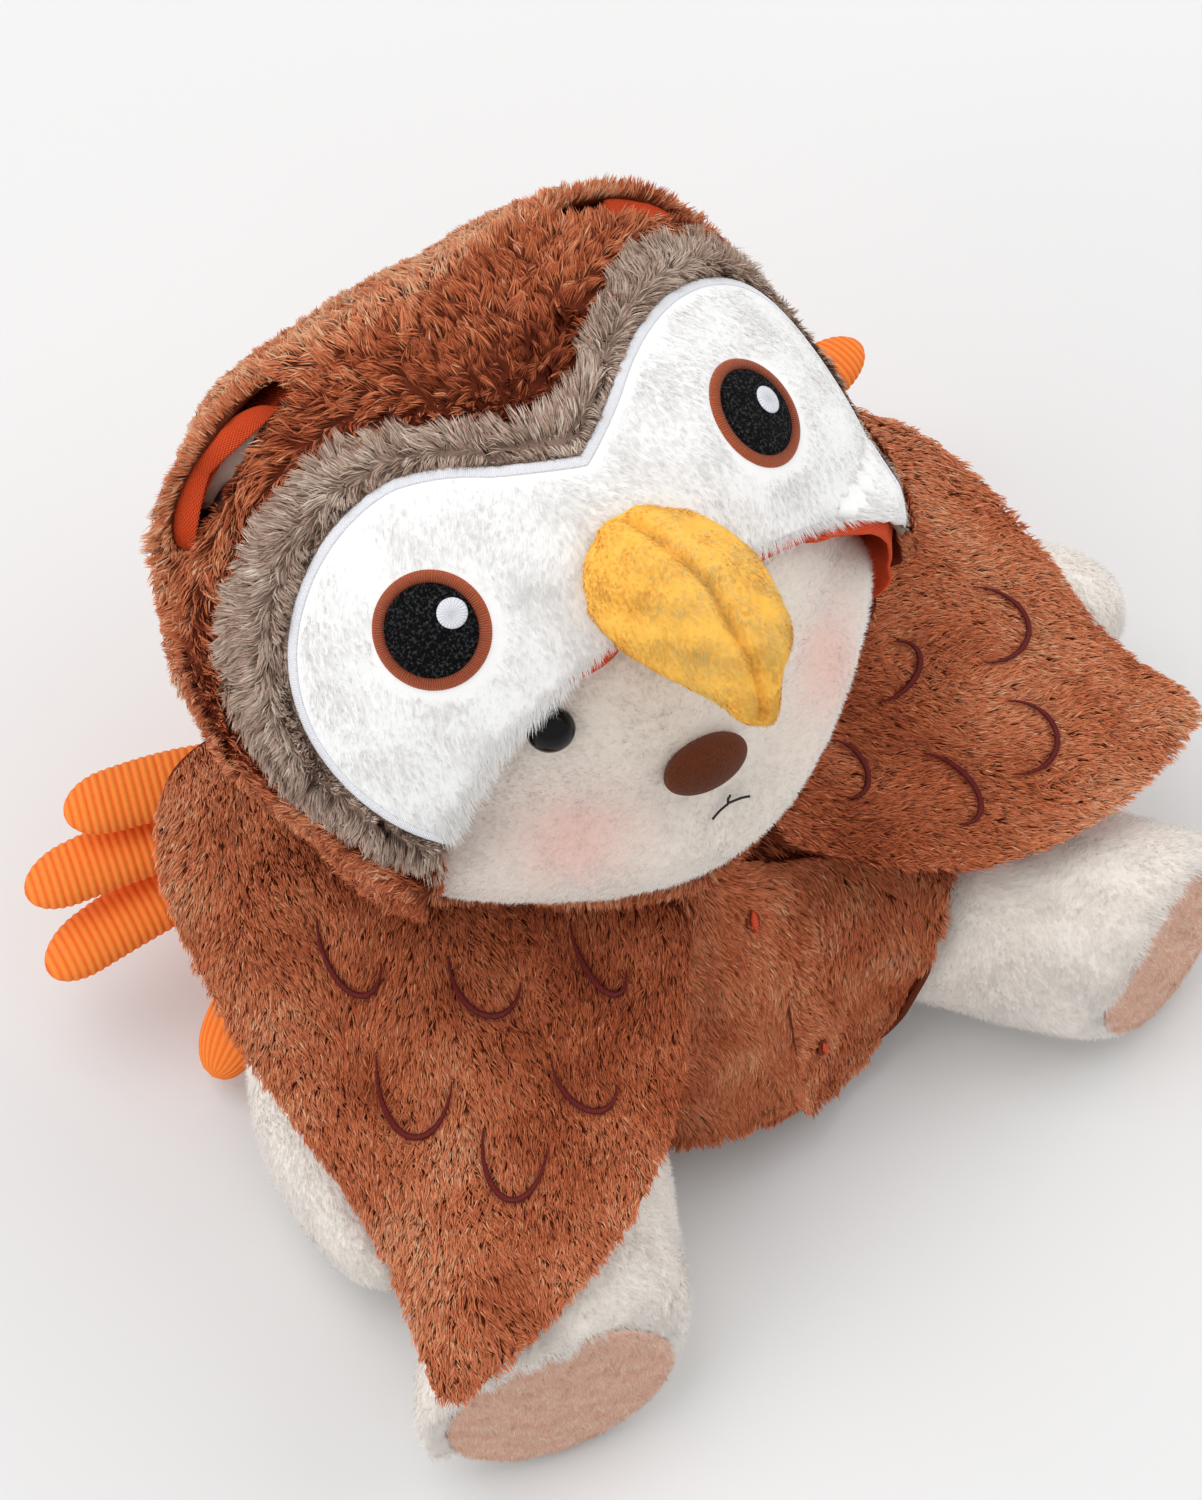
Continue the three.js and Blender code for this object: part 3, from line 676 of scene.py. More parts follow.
# Head form: an egg with a swollen muzzle, and the cloth standing off it at the ears and cheeks
headForm = dict(centre=(0, 44, 175), radii=(88, 80, 77), turn=-3, muzzle=9, muzzleDrop=18, muzzleSpread=0.42,
                back=9, backAim=(0, 0.95, 0.3), backSpread=0.5, corner=6, cornerAim=(0.66, 0.52, 0.5),
                cornerSpread=0.4, flare=6, flareAim=(0.775, -0.628, 0.077), flareSpread=0.36)
hoodForm = dict(lining=3.2, plush=7.5, tilt=38, overlap=2.5, seam=0.2, leastSlope=0.35, lobe=(40, 10),
                lobeArc=(117, -100), maskLobe=(48, 46.5), maskNotch=44, maskRight=(43.4, 6),
                bandLobe=(52.5, 55), bandNotch=54, bandRight=(51, 5), drop=40, openingWidth=(72, 77),
                openingTop=46, openingBottom=42, neckHole=34, neckAt=(0, -24), slotAim=(-0.69, 0.38, 0.62),
                slotRun=(-0.76, -0.17, -0.62), slotHalf=(25, 8))
farOut = -60.0  # what a field says where its outline is on the other side of the head
outlineParts = dict(lobe=60, opening=96)
headTurn = np.array(Matrix.Rotation(math.radians(headForm["turn"]), 3, "Z"))
headCentre = np.array(headForm["centre"], float)


def swell(aims, centre, height, spread):
    away = np.arccos(np.clip(aims @ unit(np.array(centre, float)), -1, 1)) / spread
    return height * np.exp(-away * away)


def headPoint(aims, offset, isCloth):
    drop = math.radians(headForm["muzzleDrop"])
    muzzleAim = (0, -math.cos(drop), -math.sin(drop))
    rise = swell(aims, muzzleAim, headForm["muzzle"], headForm["muzzleSpread"])
    rise = rise - swell(aims, headForm["backAim"], headForm["back"], headForm["backSpread"])
    if isCloth:
        folded = aims * np.where(aims[:, :1] < 0, np.array([[-1, 1, 1]]), 1)
        rise = rise + swell(folded, headForm["cornerAim"], headForm["corner"], headForm["cornerSpread"])
        rise = rise + swell(folded, headForm["flareAim"], headForm["flare"], headForm["flareSpread"])
    return aims * (np.array(headForm["radii"]) + offset) + aims * rise[:, None]


def toBear(places):
    return (places @ headTurn.T + headCentre) * mm


def toHead(places):
    return (places / mm - headCentre) @ headTurn


# Outlines on the plane square to the mask: x across and y up
def lobeOutline(lobe, right, notch):
    start, end = (math.radians(angle) for angle in hoodForm["lobeArc"])
    turn = np.linspace(start, end, outlineParts["lobe"])
    sides = []
    for wide, droop in ((lobe[0], 0), right):
        drop = droop * np.maximum(0, np.cos(turn))
        sides.append(np.stack([hoodForm["lobe"][0] + wide * np.cos(turn),
                               hoodForm["lobe"][1] + lobe[1] * np.sin(turn) - drop], axis=1))
    return np.concatenate([[(0, notch)], sides[0], sides[1][::-1] * (-1, 1)])


def openingOutline():
    turn = np.linspace(0, fullTurn, outlineParts["opening"], endpoint=False)
    tall = np.where(np.sin(turn) > 0, hoodForm["openingTop"], hoodForm["openingBottom"])
    wide = np.where(np.cos(turn) < 0, *hoodForm["openingWidth"])
    return np.stack([wide * np.cos(turn), tall * np.sin(turn) - hoodForm["drop"]], axis=1)


# Distance inside an outline: positive inside, negative outside
def insideBy(flat, outline):
    nearest = np.full(len(flat), np.inf)
    crossings = np.zeros(len(flat), int)
    for first, second in zip(outline, np.roll(outline, -1, axis=0)):
        run = second - first
        share = np.clip(((flat - first) @ run) / max(run @ run, 1e-12), 0, 1)
        nearest = np.minimum(nearest, np.linalg.norm(flat - first - share[:, None] * run, axis=1))
        spans = (first[1] > flat[:, 1]) != (second[1] > flat[:, 1])
        height = run[1] if abs(run[1]) > 1e-9 else 1e-9
        crossings += spans & (flat[:, 0] < first[0] + (flat[:, 1] - first[1]) * run[0] / height)
    return np.where(crossings % 2 == 1, nearest, -nearest)


maskOutline = lobeOutline(hoodForm["maskLobe"], hoodForm["maskRight"], hoodForm["maskNotch"])
bandOutline = lobeOutline(hoodForm["bandLobe"], hoodForm["bandRight"], hoodForm["bandNotch"])
faceOutline = openingOutline()
maskLean = math.radians(hoodForm["tilt"])
planeUp = np.array([0, math.sin(maskLean), math.cos(maskLean)])
planeOut = np.array([0, -math.cos(maskLean), math.sin(maskLean)])


def onPlane(places):
    return np.stack([places[:, 0], places @ planeUp], axis=1)


def offPlane(flat):
    return flat[:, :1] * np.array([[1, 0, 0]]) + flat[:, 1:] * planeUp


def frontField(places, outline):
    return np.where(places @ planeOut > 0, insideBy(onPlane(places), outline), farOut)


# The same along the cloth, which slopes away from the plane at the sides
def clothField(places, outline):
    slope = unit(places / (np.array(headForm["radii"]) + hoodForm["plush"]) ** 2) @ planeOut
    return frontField(places, outline) / np.maximum(slope, hoodForm["leastSlope"])


# Out of a slot's middle, across it and along it
def slotAxes(sign):
    mirror = np.array([-sign, 1, 1])
    aim = unit(np.array(hoodForm["slotAim"]) * mirror)
    across = unit(np.cross(aim, np.array(hoodForm["slotRun"]) * mirror))
    return aim, across, np.cross(across, aim)


def slotField(places):
    best = np.full(len(places), farOut)
    long, wide = hoodForm["slotHalf"]
    for sign in (-1, 1):
        aim, across, along = slotAxes(sign)
        away = np.sqrt((places @ along / long) ** 2 + (places @ across / wide) ** 2)
        best = np.where(places @ aim > 0, np.maximum(best, (1 - away) * wide), best)
    return best


def neckField(places):
    away = hoodForm["neckHole"] - np.linalg.norm(places[:, :2] - np.array(hoodForm["neckAt"]), axis=1)
    return np.where(places[:, 2] < -headForm["radii"][2] / 2, away, farOut)


def openingField(places):
    return frontField(places, faceOutline)


def maskField(places):
    return np.minimum(frontField(places, maskOutline), -openingField(places)) - hoodForm["seam"]


def bandField(places):
    outside = np.minimum(hoodForm["overlap"] - frontField(places, maskOutline), -openingField(places))
    return np.minimum(frontField(places, bandOutline), outside) - hoodForm["seam"]


def hoodField(places):
    outside = np.minimum(hoodForm["overlap"] - frontField(places, bandOutline), -openingField(places))
    return np.minimum(outside, np.minimum(-slotField(places), -neckField(places))) - hoodForm["seam"]


# From a place on a cloth to the same place before its rolls and ripples
atRest = {}


def restPlaces(piece, places):
    shown = points(piece)
    tree = pointTree(shown)

    def back(roots):
        nearest = np.array([tree.find(root)[1] for root in roots])
        return places[nearest] + toHead(roots) - toHead(shown[nearest])
    return back


clothLook = dict(levels=6, draws=4, probe=0.004, stride=0.02, span=0.01, aside=(0.31, 0.9, 0.3))


# Two directions along the ball at each aim
def tangents(aims):
    first = unit(np.cross(aims, np.array(clothLook["aside"])))
    return first, np.cross(aims, first)


# A patch of head cloth: a fine ball drawn out to the cloth, kept where the field is positive, with its edge
# drawn onto the outline
def clothPatch(name, offset, field, material, isCloth=True, shape=None):
    mesh = bmesh.new()
    bmesh.ops.create_icosphere(mesh, subdivisions=clothLook["levels"], radius=1)

    def ballAims():
        mesh.verts.ensure_lookup_table()
        return unit(np.array([vert.co[:] for vert in mesh.verts]))

    def depthAt(aims):
        return field(headPoint(aims, offset, isCloth))
    depth = depthAt(ballAims())
    loose = [face for face in mesh.faces if max(depth[vert.index] for vert in face.verts) < 0]
    bmesh.ops.delete(mesh, geom=loose, context="FACES")
    aims = ballAims()
    for draw in range(clothLook["draws"]):
        depth = depthAt(aims)
        out = np.nonzero(depth < 0)[0]
        if not len(out):
            break
        base, size = depth[out], clothLook["probe"]
        first, second = tangents(aims[out])
        slopeOne, slopeTwo = ((depthAt(unit(aims[out] + along * size)) - base) / size
                              for along in (first, second))
        steep = np.maximum(slopeOne ** 2 + slopeTwo ** 2, 1e-6)
        reach = np.clip(-base / steep, 0, clothLook["stride"] / np.sqrt(steep))
        aims[out] = unit(aims[out] + first * (slopeOne * reach)[:, None]
                         + second * (slopeTwo * reach)[:, None])
    places = headPoint(aims, offset, isCloth)
    shown = places + aims * shape(places)[:, None] if shape else places
    for vert, place in zip(mesh.verts, toBear(shown)):
        vert.co = place
    bmesh.ops.recalc_face_normals(mesh, faces=mesh.faces)
    piece = fromMesh(name, mesh, material)
    atRest[name] = restPlaces(piece, places)
    return piece


rimLook = dict(spread=(13, 18), rise=(-82, -76, -54, -47, -40, -32, -17, -8),
               left=(5, 21, 22, 15, 8, 5, 6, 2), leftFrom=(14, 46), right=7, rightFrom=(-22, -44),
               rightRise=(-30, -52), chin=(7, 4), chinFrom=(-20, 20), chinRise=(-52, -72))


# The rim rolls outward at both cheeks and, less, under the chin
def rimRoll(places):
    across, rise = onPlane(places).T
    isLeft = smoothStep(across, *rimLook["leftFrom"])
    spread = rimLook["spread"][0] + (rimLook["spread"][1] - rimLook["spread"][0]) * isLeft
    edge = np.exp(-(openingField(places) / spread) ** 2)
    left = np.interp(rise, rimLook["rise"], rimLook["left"], right=0) * isLeft
    right = smoothStep(across, *rimLook["rightFrom"]) * smoothStep(rise, *rimLook["rightRise"])
    toLeft = smoothStep(across, *rimLook["chinFrom"])
    deep = rimLook["chin"][0] + (rimLook["chin"][1] - rimLook["chin"][0]) * toLeft
    chin = deep * smoothStep(rise, *rimLook["chinRise"])
    return edge * np.maximum(np.maximum(left, rimLook["right"] * right), chin)


hoodLook = dict(inset=3.2, wall=2.4, pieces=2, seed=11, hairs=64000, length=5.2, width=0.36, lean=66,
                leanStray=8, leanWave=15, wave=16, swirl=30, turn=0.7, stray=0.2, tuft=16, gather=0.8,
                ruffle=0.3, clump=0.1, bow=0.35, tone=(0.44, 0.19, 30, 0.12, 5), comb=(0, 0.35, -1),
                combIn=1.5, combSpread=9, backLight=0.36, backFrom=(-4, 6), rimLonger=0.4, rimFrom=(-6, -1),
                bare=0.3, ripple=1.1, rippleSize=46, rippleSeed=31, rippleUp=0.6, rippleFrom=(0, 10),
                ridge=2.2, ridgeAt=7, ridgeSpread=5, ridgeFrom=(-30, 0), lip=(4.5, 2), lipSpread=6,
                lipFrom=(-2, 3))
napLook = dict(aim=(0, -0.28, 0.96), spread=0.5, seam=(6, -4), more=0.8, darker=0.24, shorter=0.2, curl=2,
               curlSize=0.011, curlSeed=77)
fringeLook = dict(hoodLook, hairs=11000, length=5, lean=38, leanStray=12, leanWave=10, tuft=10, gather=0.6,
                  rootSeed=16, tone=(0.56, 0.16, 24, 0.1, 19), near=-1.5, lip=0.4, out=(0.3, 0.7),
                  up=(0.2, 0.6), along=0.8, droop=(0, 0, -0.4), shorter=0.5)


# Positive behind the seam that runs through both slots, in front of it negative
def behindSeam(places):
    seams = (slotAxes(sign)[1] for sign in (-1, 1))
    return np.minimum(*(places @ (across * np.sign(across[1])) for across in seams))


def hoodShape(places):
    behind = behindSeam(places)
    ridge = np.exp(-((np.abs(behind) - hoodLook["ridgeAt"]) / hoodLook["ridgeSpread"]) ** 2)
    ridge = ridge * smoothStep(places[:, 2], *hoodLook["ridgeFrom"])
    lip = np.exp(-(slotField(places) / hoodLook["lipSpread"]) ** 2) * smoothStep(behind, *hoodLook["lipFrom"])
    lip = lip * np.where(places[:, 0] < 0, *hoodLook["lip"])
    ripple = wander(places, hoodLook["rippleSize"], hoodLook["rippleSeed"]) + hoodLook["rippleUp"]
    ripple = ripple * hoodLook["ripple"] * smoothStep(-frontField(places, bandOutline),
                                                      *hoodLook["rippleFrom"])
    return ripple + rimRoll(places) + ridge * hoodLook["ridge"] + lip


# How much the crown's nap stands up: most at its middle, before the seam
def crownNap(roots):
    places = toHead(roots)
    away = np.linalg.norm(unit(places) - unit(np.array(napLook["aim"])), axis=1)
    return np.exp(-(away / napLook["spread"]) ** 2) * smoothStep(behindSeam(places), *napLook["seam"])


# Lighter behind the seam through the slots, painted light, and darker where the crown's nap stands, painted
# shade between its tufts; besides that the tone differs at random
def hoodTone(roots, upright, chance):
    back = smoothStep(behindSeam(toHead(roots)), *hoodLook["backFrom"])
    plain = evenTone(*hoodLook["tone"])(roots, upright, chance)
    return plain + hoodLook["backLight"] * back - napLook["darker"] * crownNap(roots)


# Along the cloth towards the middle of the nearer lobe
def towardLobe(places, upright):
    flat = onPlane(places)
    wide, high = hoodForm["lobe"]
    toLobe = np.stack([np.clip(flat[:, 0], -wide, wide), np.full(len(flat), high)], axis=1) - flat
    return unit(flatten(offPlane(toLobe) @ headTurn.T, upright))


# Hairs lie down and back, but towards the band beside it
def hoodComb(roots, upright):
    places = atRest["hood_cloth"](roots)
    inward = towardLobe(places, upright)
    near = np.exp(-(clothField(places, bandOutline) / hoodLook["combSpread"]) ** 2)[:, None]
    turned = wander(roots, napLook["curlSize"], napLook["curlSeed"]) * crownNap(roots) * napLook["curl"]
    down = falling(hoodLook["comb"])(roots, upright)
    return unit(down * (1 - near) + inward * near * hoodLook["combIn"]
                + np.cross(upright, inward) * turned[:, None])


def rimLength(roots):
    places = atRest["hood_cloth"](roots)
    edge = np.maximum(openingField(places), slotField(places))
    longer = 1 + hoodLook["rimLonger"] * smoothStep(edge, *hoodLook["rimFrom"])
    return longer * (1 - napLook["shorter"] * crownNap(roots))


# The lining shows in the right corner of the face opening and, as a wedge, beside the left cheek
lipZones = dict(right=((-52, -62), (-40, -46), (-66, -58)), left=((46, 58), (-26, -34), (-64, -56)))


def lipZone(side, places):
    across, rise = onPlane(places).T
    wide, top, bottom = lipZones[side]
    return smoothStep(across, *wide) * smoothStep(rise, *top) * smoothStep(rise, *bottom)


# Hairs that stand out of the cut edge at the face and at the slots, and cover it
def growFringe(hood):
    chance = np.random.default_rng(fringeLook["rootSeed"])
    mesh = bmesh.new()
    mesh.from_mesh(hood.data)
    rim = []
    for edge in mesh.edges:
        if edge.is_boundary:
            first, second = (vert.co for vert in edge.verts)
            face = edge.link_faces[0]
            run = second - first
            out = (first + second) / 2 - face.calc_center_median()
            out = (out - run * out.dot(run) / run.length_squared).normalized()
            rim.append((first[:], run[:], out[:], face.normal[:]))
    mesh.free()
    starts, runs, outs, normals = np.array(rim).swapaxes(0, 1)
    middle = atRest["hood_cloth"](starts + runs / 2)
    isRim = np.maximum(openingField(middle), slotField(middle)) > fringeLook["near"]
    isRim = isRim & (lipZone("right", middle) < fringeLook["lip"])
    weight = np.linalg.norm(runs, axis=1) * isRim
    picked = chance.choice(len(starts), hairCount(fringeLook["hairs"]), p=weight / weight.sum())
    share, deep, tip = chance.random((3, len(picked), 1))
    normal = normals[picked]
    roots = starts[picked] + runs[picked] * share - normal * deep * hoodLook["wall"] * mm
    (outLow, outMore), (upLow, upMore) = fringeLook["out"], fringeLook["up"]
    upright = unit(outs[picked] * (outLow + outMore * deep) + normal * (upLow + upMore * tip))

    def comb(roots, upright):
        return unit(normal * fringeLook["along"] + np.array(fringeLook["droop"]))

    def sized(roots):  # short beside the wedge of lining
        return 1 - fringeLook["shorter"] * lipZone("left", atRest["hood_cloth"](roots))
    growPile("hood_rim_pile", hood, brownPile, fringeLook, "head", "brown_plush", comb=comb, sized=sized,
             at=(roots, upright))


def makeHood():
    outside = hoodForm["plush"] - hoodLook["inset"]
    hood = clothPatch("hood_cloth", outside, hoodField, brownShadedGround, shape=hoodShape)

    def keep(roots):
        return clothField(atRest["hood_cloth"](roots), bandOutline) < hoodLook["bare"]

    def share(places, normals):
        return 1 + napLook["more"] * crownNap(places)
    for part in range(hoodLook["pieces"]):
        look = dict(hoodLook, seed=hoodLook["seed"] + seedStep * part)
        growPile(f"hood_pile_{part + 1}", hood, brownPile, look, "head", "brown_plush", hoodComb, hoodTone,
                 share, keep, crownNap, rimLength)
    growFringe(hood)
    finishSheet(hood, hoodLook["wall"], "stretched", "head_cloth", "head", "brown_plush",
                "hood_front", "hood_back")


satinLook = dict(width=2.9, rise=0.32, offset=4.96, step=0.9, past=0.5)
bandLook = dict(inset=2.9, wall=2.4, seed=41, hairs=34000, length=7, width=0.36, lean=62, leanStray=10,
                leanWave=14, wave=14, swirl=18, turn=0.7, stray=0.2, tuft=13, gather=0.72, ruffle=0.3,
                clump=0.1, bow=0.35, tone=(0.5, 0.2, 14, 0.12, 9), comb=(0, -0.3, -1), combDown=0.5,
                parting=(0.28, 0.6), tuck=1.6, tuckFrom=(-0.5, 1.5), bare=0.1, grow=(1.2, 0.8), least=0.3,
                endFrom=(50, 62), endRise=(4, -12), endShorter=0.65)


# The band's fur is parted along its middle: towards the mask below, towards the crown above
def bandComb(roots, upright):
    places = atRest["brow_band_cloth"](roots)
    inward = towardLobe(places, upright)
    below = np.maximum(-clothField(places, maskOutline), 0)
    above = np.maximum(clothField(places, bandOutline), 0)
    part = smoothStep(below / (below + above + 1e-6), *bandLook["parting"])[:, None]
    return unit(inward * (1 - 2 * part) + falling(bandLook["comb"])(roots, upright) * bandLook["combDown"])


def makeBand():
    outside = hoodForm["plush"] - bandLook["inset"]

    def shape(places):  # its lower edge is tucked under the mask
        under = smoothStep(frontField(places, maskOutline), *bandLook["tuckFrom"])
        return rimRoll(places) - bandLook["tuck"] * under
    band = clothPatch("brow_band_cloth", outside, bandField, taupeShadedGround, shape=shape)

    def toSatin(roots):
        return -clothField(atRest["brow_band_cloth"](roots), maskOutline) - satinLook["width"] / 2

    def keep(roots):
        return toSatin(roots) > bandLook["bare"]

    def sized(roots):
        across, rise = onPlane(atRest["brow_band_cloth"](roots)).T
        end = smoothStep(across, *bandLook["endFrom"]) * smoothStep(rise, *bandLook["endRise"])
        slope, start = bandLook["grow"]
        grown = np.clip((toSatin(roots) * slope + start) / bandLook["length"], bandLook["least"], 1)
        return grown * (1 - bandLook["endShorter"] * end)
    growPile("brow_band_pile", band, taupePile, bandLook, "head", "taupe_plush", bandComb,
             keep=keep, sized=sized)
    finishSheet(band, bandLook["wall"], "stretched", "head_cloth", "head", "taupe_plush", "brow_band")


maskLook = dict(isShort=True, inset=2.6, wall=2.4, seed=51, hairs=90000, length=3.3, width=0.28, lean=82,
                leanStray=5, leanWave=5, wave=26, swirl=40, turn=0.6, stray=0.2, tuft=12, gather=0.4,
                ruffle=0.08, bow=0.1, tone=(0.6, 0.16, 30, 0.06, 3), comb=(0, -0.5, -1), bare=(0.2, -0.4),
                grow=(1.1, 0.7), least=0.3, edge=0.8, hem=(1.2, 0.5), hemRight=5, hemFrom=(6, 1))
eyeLook = dict(right=(431, 631), left=(757.5, 411), radius=14.8, pupil=12.1, lap=0.5, glint=4.2,
               glintAt=(5.4, 4.6), rise=0.9, pupilRise=0.9, glintRise=1.5)
discLook = dict(steps=96, rings=8, above=20, gap=0.1, weld=0.001)


def makeMask():
    outside = hoodForm["plush"] - maskLook["inset"]
    return clothPatch("mask_cloth", outside, maskField, maskGround, shape=rimRoll)


def surfaceOf(piece):
    return BVHTree.FromObject(piece, bpy.context.evaluated_depsgraph_get())


# Where a surface is seen at a pixel, or the nearest place on it when the line of sight passes by
def seenOn(tree, pixel):
    aim = sightLine(pixel)
    spot, normal = tree.ray_cast(eyePoint, aim)[:2]
    if spot is None:
        passing = eyePoint + aim * (Vector(headForm["centre"]) * mm - eyePoint).dot(aim)
        spot, normal = tree.find_nearest(passing)[:2]
    return spot, normal


def seenAlong(tree, pixels):
    seen = [seenOn(tree, pixel) for pixel in pixels]
    return np.array([spot for spot, normal in seen]), np.array([normal for spot, normal in seen])


# A soft-edged disc or ring laid on a surface: each point is dropped onto the surface and lifted
def laidDisc(name, surface, centre, normal, outer, inner, rise, material):
    across = normal.orthogonal().normalized()
    upward = normal.cross(across)

    def shape(around, share):
        laid = []
        for turn, size in zip(around * fullTurn, (inner + (outer - inner) * share) * mm):
            place = centre + (across * math.cos(turn) + upward * math.sin(turn)) * size
            laid.append(surface.ray_cast(place + normal * discLook["above"] * mm, -normal)[0] or place)
        crown = np.sqrt(np.maximum(0, 1 - ((2 * share - 1) ** 2 if inner else share ** 4)))
        lift = (rise * crown + discLook["gap"]) * mm
        spread = np.stack([around * fullTurn * (outer + inner) / 2, share * outer], axis=1) * mm
        return np.array(laid) + np.array(normal) * lift[:, None], spread
    disc = gridPatch(name, discLook["steps"], discLook["rings"], shape, material, "stitch",
                     weld=discLook["weld"])
    dress(disc, "head", "mask_plush")


def makeBirdEyes(mask):
    spots = []
    surface = surfaceOf(mask)
    shift = eyeTurn @ Vector((*eyeLook["glintAt"], 0)) * mm
    for side in ("right", "left"):
        spot, normal = seenOn(surface, eyeLook[side])
        spots.append(spot)
        glintSpot = spot + shift - normal * shift.dot(normal)
        rise = eyeLook["rise"]
        laidDisc(f"{side}_bird_eye_ring", surface, spot, normal, eyeLook["radius"],
                 eyeLook["pupil"] - eyeLook["lap"], rise, ringSatin)
        laidDisc(f"{side}_bird_pupil", surface, spot, normal, eyeLook["pupil"], 0,
                 rise * eyeLook["pupilRise"], pupilFill)
        laidDisc(f"{side}_bird_glint", surface, glintSpot, normal, eyeLook["glint"], 0,
                 rise * eyeLook["glintRise"], glintSatin)
    return spots


def growMask(mask, spots):
    def toEyes(roots):
        away = (np.linalg.norm(roots - np.array(spot), axis=1) / mm for spot in spots)
        return np.minimum(*away) - eyeLook["radius"]

    def toSatin(roots):
        return clothField(atRest["mask_cloth"](roots), maskOutline) - satinLook["width"] / 2

    def keep(roots):
        byEyes, bySatin = maskLook["bare"]
        return (toEyes(roots) > byEyes) & (toSatin(roots) > bySatin)

    def sized(roots):
        free = np.minimum(toEyes(roots), toSatin(roots) + maskLook["edge"])
        places = atRest["mask_cloth"](roots)
        hem = np.where(places[:, 0] < maskLook["hemRight"], *maskLook["hem"])
        hem = hem * smoothStep(-openingField(places), *maskLook["hemFrom"]) * (1 - besideBeak(places))
        slope, start = maskLook["grow"]
        return np.clip((free * slope + start) / maskLook["length"], maskLook["least"], 1) * (1 + hem)
    growPile("mask_pile_hair", mask, maskPile, maskLook, "head", "mask_plush", keep=keep, sized=sized)
    finishSheet(mask, maskLook["wall"], "stretched", "head_cloth", "head", "mask_plush", "mask")


# A stitched strip along places on a surface, arched over them, with its threads across it
stripLook = dict(arch=6, backing=0.4, narrow=0.25, low=0.3)


def stitchedStrip(name, spots, normals, look, material, body, slot):
    places = spots + normals * look.get("lift", 0) * mm
    count, last = len(places), len(places) - 1
    order = np.arange(count)
    ahead = places[np.minimum(order + 1, last)] - places[np.maximum(order - 1, 0)]
    side = unit(np.cross(ahead, normals))
    run = np.append(0, np.cumsum(np.linalg.norm(np.diff(places, axis=0), axis=1)))
    end = np.ones(count)
    if "taper" in look:
        end = np.minimum(order, last - order) / max(1, look["taper"] * count)
    narrow = np.minimum(1, stripLook["narrow"] + (1 - stripLook["narrow"]) * end)
    high = np.minimum(1, stripLook["low"] + end) * look["rise"] * mm

    def shape(along, across):
        at = np.round(along * last).astype(int)
        step = 2 * across - 1
        wide = step * look["width"] * mm / 2
        arch = np.sqrt(np.maximum(0, 1 - step * step)) * high[at]
        made = places[at] + side[at] * (wide * narrow[at])[:, None] + normals[at] * arch[:, None]
        return made, np.stack([run[at], wide], axis=1)
    strip = gridPatch(name, last, stripLook["arch"], shape, material, "stitch")
    faceTowards(strip, normals.mean(axis=0))
    thicken(strip, stripLook["backing"])
    dress(strip, body, slot)


def makeMaskEdge():
    dense = []
    for first, second in zip(maskOutline, np.roll(maskOutline, -1, axis=0)):
        parts = max(1, int(np.linalg.norm(second - first) / satinLook["step"]))
        dense += [first + (second - first) * share for share in np.arange(parts) / parts]
    keep = insideBy(np.array(dense), faceOutline) < satinLook["past"]
    start = int(np.argmax(~keep & np.roll(keep, -1))) + 1
    dense = np.roll(dense, -start, axis=0)[: int(keep.sum())]
    aims = planeToCloth(dense, satinLook["offset"])
    around = headPoint(aims, satinLook["offset"], True)
    around = around + aims * rimRoll(around)[:, None]
    lift = clothNormals(aims, satinLook["offset"]) @ headTurn.T
    stitchedStrip("mask_edge_stitch", toBear(around), lift, satinLook, maskSatin, "head", "mask_plush")


# The head direction whose cloth point lies over a place on the mask plane, found in small steps
planeLook = dict(reach=60, turns=40, stride=0.009)


def planeToCloth(flat, offset):
    aims = unit(offPlane(flat) + planeLook["reach"] * planeOut)
    for turn in range(planeLook["turns"]):
        gap = flat - onPlane(headPoint(aims, offset, True))
        aims = unit(aims + offPlane(gap) * planeLook["stride"])
    return aims


def clothNormals(aims, offset):
    base = headPoint(aims, offset, True)
    beside = (unit(aims + along * clothLook["span"]) for along in tangents(aims))
    first, second = (headPoint(aim, offset, True) - base for aim in beside)
    normal = unit(np.cross(first, second))
    return normal * np.sign((normal * aims).sum(axis=1, keepdims=True))


# Lining: inside the hood, standing a little past the edge of the plush at the face and at the slots
liningLook = dict(wall=0.8, drop=1.4, lip=0.6, leftLip=4.6, leftFrom=(8, 30), leftRise=(-40, -26),
                  rightLip=3.5, wedge=4.6, beakAt=-20, beakSpread=11, beakRise=(-30, -10), slot=1.5, tuck=6,
                  tuckRise=(-57, -66), sink=1.8, sinkFrom=(2, 9), round=0.09)


# It also shows beside the beak, under the mask's right lobe
def besideBeak(places):
    across, rise = onPlane(places).T
    near = np.exp(-((across - liningLook["beakAt"]) / liningLook["beakSpread"]) ** 2)
    return near * smoothStep(rise, *liningLook["beakRise"])


def liningField(places):
    across, rise = onPlane(places).T
    under = smoothStep(across, *liningLook["leftFrom"]) * smoothStep(rise, *liningLook["leftRise"])
    lip = np.full(len(places), liningLook["lip"])
    for wanted, share in ((liningLook["leftLip"], under),
                          (-liningLook["tuck"], smoothStep(rise, *liningLook["tuckRise"])),
                          (liningLook["wedge"], lipZone("left", places)),
                          (liningLook["leftLip"], besideBeak(places)),
                          (liningLook["rightLip"], lipZone("right", places))):
        lip = lip + (wanted - lip) * share
    slot = -liningLook["slot"] - slotField(places)
    return np.minimum(lip - openingField(places), np.minimum(slot, -neckField(places)))


